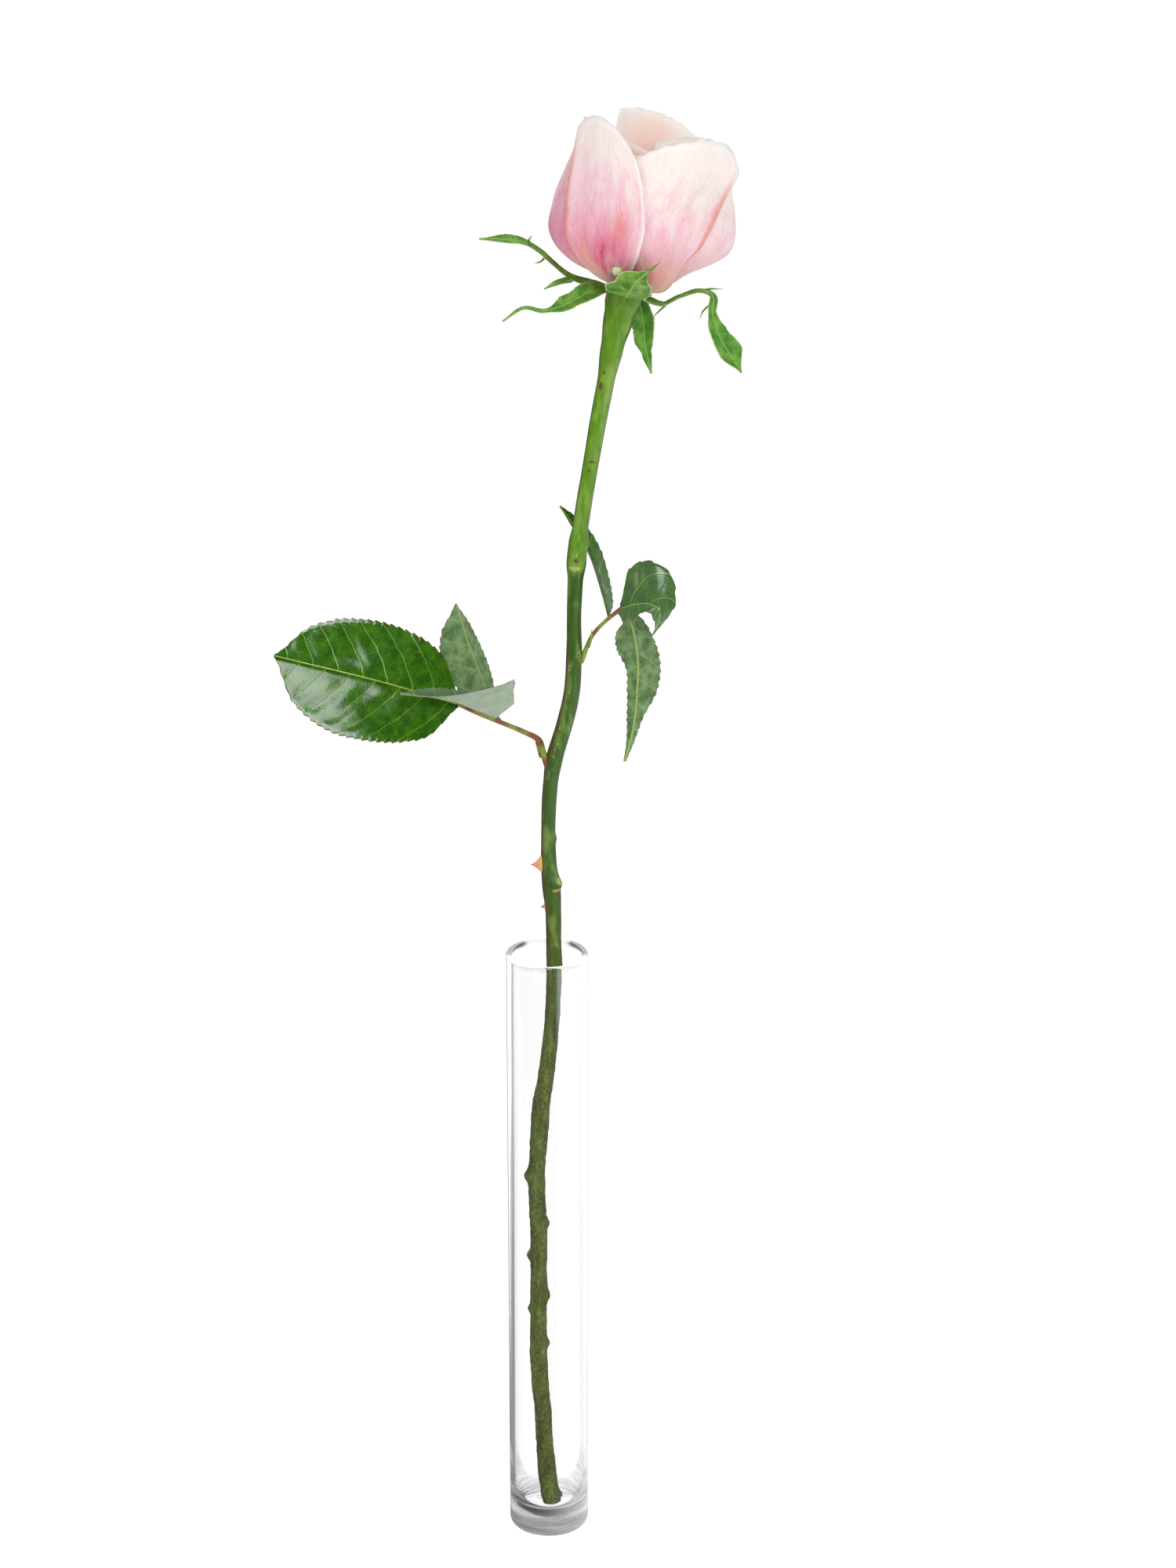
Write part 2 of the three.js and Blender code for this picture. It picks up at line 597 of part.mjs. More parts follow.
function sepalGeometry({ line, widths, facing, fold, threads }) {
  const frame = followingFrame(curveThrough(line), facing);
  const width = evenly(widths);
  const rise = Math.tan(fold * DEGREE);
  const strap = blade(SEPAL_ROWS, SEPAL_COLUMNS, SEPAL_THICKNESS, (u, v) => {
    const { point, face, side } = frame(u);
    const reach = eased(width, u) * v;
    return point.addScaledVector(side, reach).addScaledVector(face, Math.abs(reach) * rise);
  });
  const taper = evenly(THREAD_TAPER);
  const limbs = threads.map(({ line: route, radius }) => (
    limb(curveThrough(route), THREAD_SIDES, THREAD_STEPS, (share) => radius * eased(taper, share))
  ));
  return fuse([strap, ...limbs]);
}

/** A smooth run through evenly spaced values, read at a share of the way. */
function smoothRun(values) {
  const run = new THREE.SplineCurve(values.map((value, index) => new THREE.Vector2(index, value)));
  return (share) => run.getPoint(share).y;
}

function leafletGeometry({ rib, left, right, facing, fold, lobe = 0 }) {
  const frame = followingFrame(curveThrough(rib), facing);
  const halves = { left: smoothRun(left), right: smoothRun(right) };
  return blade(LEAF_ROWS, LEAF_COLUMNS, LEAF_THICKNESS, (u, v, row) => {
    const onTooth = Math.abs(v) === 1 && row % 2 === 1;
    const lean = onTooth ? TOOTH_LEAN / LEAF_ROWS : 0;
    const { point, face, side, along } = frame(Math.min(u + lean, 1));
    const half = v > 0 ? halves.left(u) : halves.right(u);
    const tooth = onTooth ? TOOTH * Math.min(half / TOOTH_FULL, 1) : 0;
    const reach = (half + tooth) * v;
    const lift = mix(fold, u) * DEGREE;
    point.addScaledVector(side, reach * Math.cos(lift));
    point.addScaledVector(along, -lobe * Math.abs(v) * (1 - u) ** 4);
    return point.addScaledVector(face, Math.abs(reach) * Math.sin(lift));
  });
}

function leafGeometry({ stalk, stalkRadii, leaflets, stipules }) {
  const girth = evenly(stalkRadii);
  const taper = evenly(STIPULE_RADII);
  return fuse([
    limb(curveThrough(stalk), STALK_SIDES, STALK_STEPS, (share) => eased(girth, share)),
    ...leaflets.map(leafletGeometry),
    ...stipules.map((line) => (
      limb(curveThrough(line), THREAD_SIDES, THREAD_STEPS, (share) => eased(taper, share))
    )),
  ]);
}

// ---------------------------------------------------------------- the assembly

const finish = (color, roughness, metalness = 0) => (
  new THREE.MeshStandardMaterial({ color, roughness, metalness })
);

function named(name, geometry, material) {
  const mesh = new THREE.Mesh(geometry, material);
  mesh.name = name;
  return mesh;
}

const glass = finish(0xe6eeee, 0.05);
const bark = finish(0x4d7a26, 0.55);
const petals = finish(0xf8d3dc, 0.6);
const sepalGreen = finish(0x4f8a35, 0.6);
const leafGreen = finish(0x2c6a1c, 0.4);

const head = new THREE.Group();
head.position.set(...HEAD_ORIGIN);
head.rotation.copy(headTurn());
head.add(named('bloom', bloomGeometry(), petals));
for (const [name, sepal] of Object.entries(SEPALS)) {
  head.add(named(name, sepalGeometry(sepal), sepalGreen));
}

const group = new THREE.Group();
group.add(named('vase', vaseGeometry(), glass));
group.add(named('stem', stemGeometry(), bark));
group.add(head);
for (const [name, leaf] of Object.entries(LEAVES)) {
  group.add(named(name, leafGeometry(leaf), leafGreen));
}

export default group;
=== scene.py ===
"""The looks of a single cut rose that stands in a straight bud vase of clear glass.

Tables are in millimetres, in the frame of the part: the origin is the middle of the vase's foot,
+X runs to the right, +Y away from the onlooker and +Z up. Every mesh is laid in metres.
"""

from __future__ import annotations

import logging
import math
from dataclasses import dataclass, replace
from enum import Enum
from typing import Callable, Sequence

import bmesh
import bpy
import numpy as np
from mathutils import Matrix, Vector, noise

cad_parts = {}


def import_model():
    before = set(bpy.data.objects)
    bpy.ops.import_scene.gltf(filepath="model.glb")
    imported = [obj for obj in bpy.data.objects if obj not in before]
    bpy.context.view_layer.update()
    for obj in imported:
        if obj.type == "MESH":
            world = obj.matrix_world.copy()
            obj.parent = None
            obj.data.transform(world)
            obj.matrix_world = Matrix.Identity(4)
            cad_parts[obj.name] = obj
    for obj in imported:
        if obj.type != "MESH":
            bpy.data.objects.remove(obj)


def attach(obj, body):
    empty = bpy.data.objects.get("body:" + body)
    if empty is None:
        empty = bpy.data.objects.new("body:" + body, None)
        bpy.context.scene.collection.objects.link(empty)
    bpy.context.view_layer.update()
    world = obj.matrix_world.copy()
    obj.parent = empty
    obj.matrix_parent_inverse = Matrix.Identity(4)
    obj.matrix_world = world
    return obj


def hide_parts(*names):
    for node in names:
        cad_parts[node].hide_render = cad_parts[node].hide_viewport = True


LOG = logging.getLogger("rose")
MM = 0.001
CLOSE = 1e-6

Array = np.ndarray
Triple = tuple[float, float, float]
Colour = tuple[float, float, float]
Place = Callable[[Array, Array], Array]

BLACK: Colour = (0.0, 0.0, 0.0)
WHITE: Colour = (1.0, 1.0, 1.0)


# ------------------------------------------------------------------ plain sums


def ramp(value: Array, low: float, high: float) -> Array:
    """Rises smoothly from 0 at low to 1 at high."""
    share = np.clip((np.asarray(value, dtype=float) - low) / (high - low), 0.0, 1.0)
    return share * share * (3.0 - 2.0 * share)


def eased(table: Sequence[tuple[float, float]], place: Array) -> Array:
    """Reads a table of places and values, easing from one pair to the next.

    Args:
        table: pairs of a place and the value there, in rising order.
        place: where to read the table.

    Returns:
        The value at each place.
    """
    value = np.full(np.shape(place), float(table[0][1]))
    for (low, before), (high, after) in zip(table, table[1:]):
        value = value + (after - before) * ramp(place, low, high)
    return value


def evenly(values: Sequence[float]) -> list[tuple[float, float]]:
    """Spaces values evenly from 0 to 1, as a table for eased()."""
    return [(index / (len(values) - 1), value) for index, value in enumerate(values)]


def hermite(share: Array, start: Array, end: Array, leave: Array, arrive: Array) -> Array:
    """Runs from start to end with the given slopes there.

    Args:
        share: where between them, 0 to 1.
        start: the value at 0.
        end: the value at 1.
        leave: the slope at 0.
        arrive: the slope at 1.

    Returns:
        The value at each share.
    """
    square = share * share
    cube = square * share
    return (
        (2 * cube - 3 * square + 1) * start
        + (cube - 2 * square + share) * leave
        + (3 * square - 2 * cube) * end
        + (cube - square) * arrive
    )


def smooth_run(values: Sequence[Sequence[float]], share: Array) -> Array:
    """Reads a smooth line through evenly spaced rows of values.

    Args:
        values: one row of numbers for each knot.
        share: how far along the line to read, from 0 to 1.

    Returns:
        One row of numbers for each share.
    """
    knots = np.asarray(values, dtype=float)
    last = len(knots) - 1
    place = np.clip(share, 0.0, 1.0) * last
    span = np.minimum(place.astype(int), last - 1)
    before = knots[np.maximum(span - 1, 0)]
    start = knots[span]
    end = knots[span + 1]
    after = knots[np.minimum(span + 2, last)]
    part = (place - span)[:, None]
    return hermite(part, start, end, (end - before) / 2, (after - start) / 2)


def roughness_at(points: Array, size: float, seed: float = 0.0) -> Array:
    """Reads a smooth random field, from about -1 to 1, that changes over a given size."""
    offset = Vector((seed, -seed, seed * 0.5))
    return np.array([noise.noise(Vector(point) / size + offset) for point in points])


def waver(seed: float, *columns: Array) -> Array:
    """Reads the field of roughness_at() at columns of numbers, with 0 for one not given."""
    blank = [np.zeros(len(columns[0]))] * (3 - len(columns))
    return roughness_at(np.column_stack([*columns, *blank]), 1.0, seed)


def unit(vectors: Array) -> Array:
    """Makes every row one long."""
    return vectors / np.maximum(np.linalg.norm(vectors, axis=1, keepdims=True), 1e-12)


class Line:
    """A smooth line through points, read by its share of the length."""

    SAMPLES = 48

    def __init__(self, points: Sequence[Triple]) -> None:
        """Lays the line through the points, in millimetres.

        Args:
            points: the knots, in millimetres.
        """
        knots = np.asarray(points, dtype=float)
        first = 2 * knots[0] - knots[1]
        last = 2 * knots[-1] - knots[-2]
        knots = np.vstack([first, knots, last])
        steps = np.sqrt(np.linalg.norm(np.diff(knots, axis=0), axis=1))
        part = np.linspace(0.0, 1.0, self.SAMPLES, endpoint=False)[:, None]
        runs = []
        for index in range(1, len(knots) - 2):
            before, start, end, after = knots[index - 1 : index + 3]
            lead, step, trail = steps[index - 1 : index + 2]
            middle = (end - start) / step
            leave = (start - before) / lead - (end - before) / (lead + step) + middle
            arrive = middle - (after - start) / (step + trail) + (after - end) / trail
            runs.append(hermite(part, start, end, leave * step, arrive * step))
        self.points = np.vstack([*runs, knots[-2:-1]])
        lengths = np.linalg.norm(np.diff(self.points, axis=0), axis=1)
        self.reach = np.concatenate([[0.0], np.cumsum(lengths)])
        self.length = float(self.reach[-1])
        self.headings = unit(np.gradient(self.points, self.reach, axis=0))
        self.sides = self._carried_sides()

    def _carried_sides(self) -> Array:
        """Carries a sideways direction along the line without any twist.

        Returns:
            One direction for each sample.
        """
        side = np.cross(self.headings[0], (0.3, 1.0, 0.2))
        sides = []
        for heading in self.headings:
            side = side - heading * np.dot(side, heading)
            side = side / np.linalg.norm(side)
            sides.append(side)
        return np.array(sides)

    def _read(self, table: Array, share: Array) -> Array:
        """Reads a table with one row for each sample of the line."""
        place = np.clip(share, 0.0, 1.0) * self.length
        return np.column_stack([np.interp(place, self.reach, column) for column in table.T])

    def at(self, share: Array) -> Array:
        """Gives the points at shares of the length."""
        return self._read(self.points, share)

    def heading(self, share: Array) -> Array:
        """Gives the unit directions along the line."""
        return unit(self._read(self.headings, share))

    def side(self, share: Array) -> Array:
        """Gives unit directions across the line, carried along without twist."""
        return unit(self._read(self.sides, share))

    def outward(self, share: Array, angle: Array) -> Array:
        """Gives unit directions away from the line.

        Args:
            share: the share of the length.
            angle: the angle round.

        Returns:
            One direction for each pair.
        """
        across = self.side(share)
        over = np.cross(self.heading(share), across)
        return across * np.cos(angle)[:, None] + over * np.sin(angle)[:, None]

    def turns(self, share: Array, angle: Array) -> Array:
        """Gives the compass directions, in radians, away from the line."""
        away = self.outward(share, angle)
        return np.arctan2(away[:, 1], away[:, 0])

    def share_at_height(self, height: float) -> float:
        """Gives the share of the length at which a rising line reaches a height."""
        return float(np.interp(height, self.points[:, 2], self.reach)) / self.length


# ------------------------------------------------------------------ meshes


def deselect() -> None:
    """Leaves nothing selected."""
    bpy.ops.object.select_all(action="DESELECT")


def named(name: str) -> bpy.types.Object:
    """Names the object just added, and its mesh.

    Args:
        name: its new name.

    Returns:
        The object.
    """
    piece = bpy.context.object
    piece.name = name
    piece.data.name = name
    return piece


def corners(piece: bpy.types.Object) -> Array:
    """Reads a mesh's vertices.

    Args:
        piece: the object to read.

    Returns:
        One row for each vertex, in metres.
    """
    values = np.empty(len(piece.data.vertices) * 3)
    piece.data.vertices.foreach_get("co", values)
    return values.reshape(-1, 3)


def move_corners(piece: bpy.types.Object, points: Array) -> None:
    """Puts a mesh's vertices at points given in millimetres."""
    piece.data.vertices.foreach_set("co", (points * MM).ravel())
    piece.data.update()


def lay_sheet(name: str, columns: int, rows: int, place: Place) -> bpy.types.Object:
    """Adds a flat grid and lays it on a surface, with its own map of the surface.

    Args:
        name: the new object's name.
        columns: faces across.
        rows: faces from root to tip.
        place: gives points for u from root to tip (0 to 1) and v across (-1 to 1).

    Returns:
        The sheet, its faces turned to the side that u x v points to.
    """
    deselect()
    bpy.ops.mesh.primitive_grid_add(x_subdivisions=columns, y_subdivisions=rows, size=1)
    piece = named(name)
    flat = corners(piece)
    move_corners(piece, place(flat[:, 1] + 0.5, flat[:, 0] * 2.0))
    return piece


def lay_round(name: str, sides: int, rings: int, place: Place) -> bpy.types.Object:
    """Adds a ball of rings and lays it on a closed round surface.

    Args:
        name: the new object's name.
        sides: faces round.
        rings: faces from end to end.
        place: gives points for the share from end to end and the angle round.

    Returns:
        The closed piece.
    """
    deselect()
    bpy.ops.mesh.primitive_uv_sphere_add(segments=sides, ring_count=rings, radius=1)
    piece = named(name)
    ball = corners(piece)
    share = np.arccos(np.clip(-ball[:, 2], -1.0, 1.0)) / math.pi
    move_corners(piece, place(share, np.arctan2(ball[:, 1], ball[:, 0])))
    return piece


def lay_limb(
    name: str, line: Line, sides: int, rings: int, radius: Callable[[Array, Array], Array]
) -> bpy.types.Object:
    """Adds a round limb along a line.

    Args:
        name: the new object's name.
        line: the limb's middle line.
        sides: faces round.
        rings: faces from end to end.
        radius: gives the radius for the share of the length and the angle round.

    Returns:
        The closed limb.
    """

    def place(share: Array, angle: Array) -> Array:
        """Lays the limb's skin, closed to a point at both ends.

        Args:
            share: the share of the length.
            angle: the angle round.

        Returns:
            The points, in millimetres.
        """
        ends = (share < CLOSE) | (share > 1 - CLOSE)
        reach = np.where(ends, 0.0, radius(share, angle))
        return line.at(share) + line.outward(share, angle) * reach[:, None]

    return lay_round(name, sides, rings, place)


def mark(piece: bpy.types.Object, name: str, values: Array) -> None:
    """Stores one number for each vertex under a name that materials read."""
    layer = piece.data.attributes.new(name, "FLOAT", "POINT")
    layer.data.foreach_set("value", np.asarray(values, dtype=float))


def map_surface(piece: bpy.types.Object, first: Array, second: Array) -> None:
    """Sets the surface map from one pair of numbers for each vertex.

    Args:
        piece: the sheet.
        first: the first number.
        second: the second number.
    """
    corner = np.empty(len(piece.data.loops), dtype=int)
    piece.data.loops.foreach_get("vertex_index", corner)
    pairs = np.column_stack([first, second])[corner]
    piece.data.uv_layers.active.data.foreach_set("uv", pairs.ravel())


def apply_modifiers(piece: bpy.types.Object) -> None:
    """Applies every modifier of a piece.

    Args:
        piece: the object with the modifiers.
    """
    deselect()
    piece.select_set(True)
    bpy.context.view_layer.objects.active = piece
    for modifier in list(piece.modifiers):
        bpy.ops.object.modifier_apply(modifier=modifier.name)


def thicken(piece: bpy.types.Object, thickness: float, fullness: Array) -> None:
    """Gives a sheet two faces, thinner where its fullness is low.

    The first material stays on the sheet's own side, and the second covers the new side.

    Args:
        piece: the sheet.
        thickness: from face to face in the middle, in millimetres.
        fullness: a share of the thickness for each vertex.
    """
    group = piece.vertex_groups.new(name="fullness")
    for index, share in enumerate(fullness):
        group.add([index], float(share), "REPLACE")
    wall = piece.modifiers.new("wall", "SOLIDIFY")
    wall.thickness = thickness * MM
    wall.offset = 0.0
    wall.vertex_group = "fullness"
    wall.thickness_vertex_group = 0.0
    wall.material_offset = 1
    apply_modifiers(piece)
    piece.vertex_groups.clear()


def smooth(piece: bpy.types.Object) -> None:
    """Shades a piece smoothly."""
    piece.data.polygons.foreach_set("use_smooth", [True] * len(piece.data.polygons))
    piece.data.update()


def join(pieces: Sequence[bpy.types.Object]) -> bpy.types.Object:
    """Joins pieces into the first one.

    Args:
        pieces: the objects to join.

    Returns:
        The first one.
    """
    if len(pieces) == 1:
        return pieces[0]
    deselect()
    for piece in pieces:
        piece.select_set(True)
    bpy.context.view_layer.objects.active = pieces[0]
    bpy.ops.object.join()
    return pieces[0]


def dress(piece: bpy.types.Object, *materials: bpy.types.Material) -> None:
    """Gives a piece its materials, in the order of its slots."""
    for material in materials:
        piece.data.materials.append(material)


def seat(piece: bpy.types.Object) -> None:
    """Makes a piece part of the rose.

    Args:
        piece: the finished piece.
    """
    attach(piece, "root")
    LOG.info("%s: %d faces", piece.name, len(piece.data.polygons))


# ------------------------------------------------------------------ finishes


def colour(red: int, green: int, blue: int) -> Colour:
    """Turns a screen colour, 0 to 255, into the linear light that shaders take.

    Args:
        red: its red.
        green: its green.
        blue: its blue.

    Returns:
        The three shares of light, 0 to 1.
    """
    return tuple(
        part / 12.92 if part <= 0.04045 else ((part + 0.055) / 1.055) ** 2.4
        for part in (red / 255, green / 255, blue / 255)
    )


class Tree:
    """Builds a node tree in plain steps."""

    def __init__(self, tree: bpy.types.NodeTree) -> None:
        """Works on the given tree."""
        self.tree = tree

    def node(self, kind: str, **settings: object) -> bpy.types.Node:
        """Adds a node with some of its settings.

        Args:
            kind: the node's type.
            settings: its settings by name.

        Returns:
            The node.
        """
        made = self.tree.nodes.new(kind)
        for name, value in settings.items():
            setattr(made, name, value)
        return made

    def feed(self, socket: bpy.types.NodeSocket, value: object) -> None:
        """Links a socket to an input, or sets the input to a plain value.

        Args:
            socket: the input to feed.
            value: a socket, a colour or a number.
        """
        if isinstance(value, bpy.types.NodeSocket):
            self.tree.links.new(value, socket)
        elif isinstance(value, tuple) and socket.type == "RGBA":
            socket.default_value = (*value, 1.0)
        else:
            socket.default_value = value

    def fill(self, node: bpy.types.Node, **values: object) -> None:
        """Feeds a node's inputs by their names, with _ for each space.

        Args:
            node: the node to feed.
            values: a socket, colour or number for each name.
        """
        for label, value in values.items():
            self.feed(node.inputs[label.replace("_", " ")], value)

    def place(self) -> bpy.types.NodeSocket:
        """Reads the place in the frame of the part, in metres."""
        return self.node("ShaderNodeTexCoord").outputs["Object"]

    def spot(self) -> bpy.types.NodeSocket:
        """Reads the piece's own map of its surface."""
        return self.node("ShaderNodeTexCoord").outputs["UV"]

    def sum(self, operation: str, first: object, second: object = 0.0) -> bpy.types.NodeSocket:
        """Adds a Math node.

        Args:
            operation: the kind of sum.
            first: the first number.
            second: the second number.

        Returns:
            The result.
        """
        made = self.node("ShaderNodeMath", operation=operation)
        self.feed(made.inputs[0], first)
        self.feed(made.inputs[1], second)
        return made.outputs[0]

    def times(self, first: object, second: object) -> bpy.types.NodeSocket:
        """Multiplies two numbers."""
        return self.sum("MULTIPLY", first, second)

    def blend(self, share: object, first: object, second: object) -> bpy.types.NodeSocket:
        """Mixes two colours.

        Args:
            share: how much of the second there is.
            first: the first colour.
            second: the second colour.

        Returns:
            The mixed colour.
        """
        made = self.node("ShaderNodeMix", data_type="RGBA")
        self.feed(made.inputs[0], share)
        self.feed(made.inputs[6], first)
        self.feed(made.inputs[7], second)
        return made.outputs[2]

    def spread(
        self, value: object, low: float, high: float, bottom: float = 0.0, top: float = 1.0
    ) -> bpy.types.NodeSocket:
        """Maps a range smoothly to another.

        Args:
            value: the number to map.
            low: where it gives bottom.
            high: where it gives top.
            bottom: the result at low.
            top: the result at high.

        Returns:
            The mapped number.
        """
        made = self.node("ShaderNodeMapRange", interpolation_type="SMOOTHSTEP")
        self.feed(made.inputs[0], value)
        for socket, number in zip(made.inputs[1:5], (low, high, bottom, top)):
            socket.default_value = number
        return made.outputs[0]

    def stretch(self, vector: object, scale: Triple) -> bpy.types.NodeSocket:
        """Scales a vector along its axes.

        Args:
            vector: the vector.
            scale: one factor for each axis.

        Returns:
            The scaled vector.
        """
        made = self.node("ShaderNodeVectorMath", operation="MULTIPLY")
        self.feed(made.inputs[0], vector)
        made.inputs[1].default_value = scale
        return made.outputs[0]

    def noise(self, vector: object, scale: float, detail: float = 3.0) -> bpy.types.NodeSocket:
        """Reads smooth noise.

        Args:
            vector: where to read.
            scale: how fine it is.
            detail: how rough it is.

        Returns:
            A number from 0 to 1.
        """
        made = self.node("ShaderNodeTexNoise")
        self.fill(made, Vector=vector, Scale=scale, Detail=detail)
        return made.outputs["Fac"]

    def marked(self, name: str) -> bpy.types.NodeSocket:
        """Reads a number stored on the mesh."""
        return self.node("ShaderNodeAttribute", attribute_name=name).outputs["Fac"]

    def group(self, name: str, **values: object) -> bpy.types.NodeSocket:
        """Places a shared node group and gives its first output.

        Args:
            name: the group's name.
            values: what to feed to each input.

        Returns:
            The first output.
        """
        made = self.node("ShaderNodeGroup")
        made.node_tree = bpy.data.node_groups[name]
        self.fill(made, **values)
        return made.outputs[0]

    def parts(self, vector: object) -> tuple[bpy.types.NodeSocket, ...]:
        """Splits a vector into its three numbers.

        Args:
            vector: the vector.

        Returns:
            Its three numbers.
        """
        made = self.node("ShaderNodeSeparateXYZ")
        self.feed(made.inputs[0], vector)
        return tuple(made.outputs)

    def kinds_of_light(self) -> tuple[bpy.types.NodeSocket, ...]:
        """Tells mirrored light, light seen through glass and light seen straight, each 0 or 1.

        Returns:
            The three masks.
        """
        light = self.node("ShaderNodeLightPath").outputs
        turned = self.sum("MINIMUM", light["Glossy Depth"], 1.0)
        mirrored = self.times(turned, light["Is Glossy Ray"])
        direct = self.spread(light["Diffuse Depth"], 0.0, 1.0, 1.0, 0.0)
        through = self.times(light["Is Transmission Ray"], direct)
        through = self.times(through, self.sum("SUBTRACT", 1.0, turned))
        return mirrored, through, light["Is Camera Ray"]

    def bump(self, height: object, strength: float, distance: float) -> bpy.types.NodeSocket:
        """Turns a height into a normal; distance is in millimetres.

        Args:
            height: the height.
            strength: how much it counts.
            distance: how tall 1 is.

        Returns:
            The normal.
        """
        made = self.node("ShaderNodeBump")
        self.fill(made, Strength=strength, Distance=distance * MM, Height=height)
        return made.outputs["Normal"]


def shared_group(name: str, inputs: dict[str, str], build: Callable[[Tree, dict], object]) -> None:
    """Makes a node group with one number or colour as its output.

    Args:
        name: the group's name.
        inputs: the kind of socket for each input, by name.
        build: draws the group and gives the socket that it puts out.
    """
    group = bpy.data.node_groups.new(name, "ShaderNodeTree")
    for label, kind in inputs.items():
        group.interface.new_socket(label, in_out="INPUT", socket_type=kind)
    group.interface.new_socket("Mask", in_out="OUTPUT", socket_type="NodeSocketFloat")
    tree = Tree(group)
    entry = tree.node("NodeGroupInput")
    result = build(tree, {label: entry.outputs[label] for label in inputs})
    tree.feed(tree.node("NodeGroupOutput").inputs[0], result)


def draw_vein_net(tree: Tree, given: dict) -> bpy.types.NodeSocket:
    """A net of fine veins round small cells: 1 on a vein, 0 between.

    Args:
        tree: the group's nodes.
        given: the group's inputs by name.

    Returns:
        The mask, 0 to 1.
    """
    cells = tree.node("ShaderNodeTexVoronoi", feature="DISTANCE_TO_EDGE")
    tree.fill(cells, Vector=given["Vector"], Scale=given["Scale"])
    near = tree.sum("DIVIDE", cells.outputs["Distance"], given["Width"])
    return tree.spread(near, 0.0, 1.0, 1.0, 0.0)


def draw_side_veins(tree: Tree, given: dict) -> bpy.types.NodeSocket:
    """Side veins that leave a middle rib in turn left and right and curve to the tip.

    Args:
        tree: the group's nodes.
        given: the group's inputs by name.

    Returns:
        The mask, 0 to 1.
    """
    away = tree.sum("ABSOLUTE", given["Across"])
    lean = tree.times(away, given["Lean"])
    bend = tree.times(tree.times(away, away), given["Bend"])
    place = tree.sum("SUBTRACT", tree.sum("SUBTRACT", given["Along"], lean), bend)
    turn = tree.times(tree.sum("GREATER_THAN", given["Across"]), 0.5)
    count = tree.sum("ADD", tree.sum("DIVIDE", place, given["Spacing"]), turn)
    offset = tree.sum("ABSOLUTE", tree.sum("SUBTRACT", tree.sum("FRACT", count), 0.5))
    near = tree.sum("DIVIDE", tree.sum("SUBTRACT", 0.5, offset), given["Width"])
    return tree.spread(near, 0.0, 1.0, 1.0, 0.0)


def draw_streaks(tree: Tree, given: dict) -> bpy.types.NodeSocket:
    """Long irregular streaks: noise drawn out along one direction.

    Args:
        tree: the group's nodes.
        given: the group's inputs by name.

    Returns:
        The mask, 0 to 1.
    """
    grain = tree.node("ShaderNodeTexNoise")
    tree.fill(grain, Vector=given["Vector"], Scale=given["Scale"], Detail=4.0, Roughness=0.6)
    return tree.spread(grain.outputs["Fac"], 0.36, 0.66)


def make_shared_groups() -> None:
    """Makes the effects that more than one finish uses."""
    number = "NodeSocketFloat"
    vector = "NodeSocketVector"
    shared_group("vein net", {"Vector": vector, "Scale": number, "Width": number}, draw_vein_net)
    shared_group(
        "side veins",
        {label: number for label in ("Along", "Across", "Spacing", "Lean", "Bend", "Width")},
        draw_side_veins,
    )
    shared_group("streaks", {"Vector": vector, "Scale": number}, draw_streaks)


class Finish:
    """A procedural finish; each kind draws its own nodes once."""

    name = "finish"

    def draw(self, tree: Tree, shader: bpy.types.Node) -> None:
        """Draws the nodes that feed the shader."""
        raise NotImplementedError

    def material(self) -> bpy.types.Material:
        """Gives the material, drawing it the first time it is asked for.

        Returns:
            The material.
        """
        known = bpy.data.materials.get(self.name)
        if known is not None:
            return known
        made = bpy.data.materials.new(self.name)
        made.use_nodes = True
        self.draw(Tree(made.node_tree), made.node_tree.nodes["Principled BSDF"])
        return made


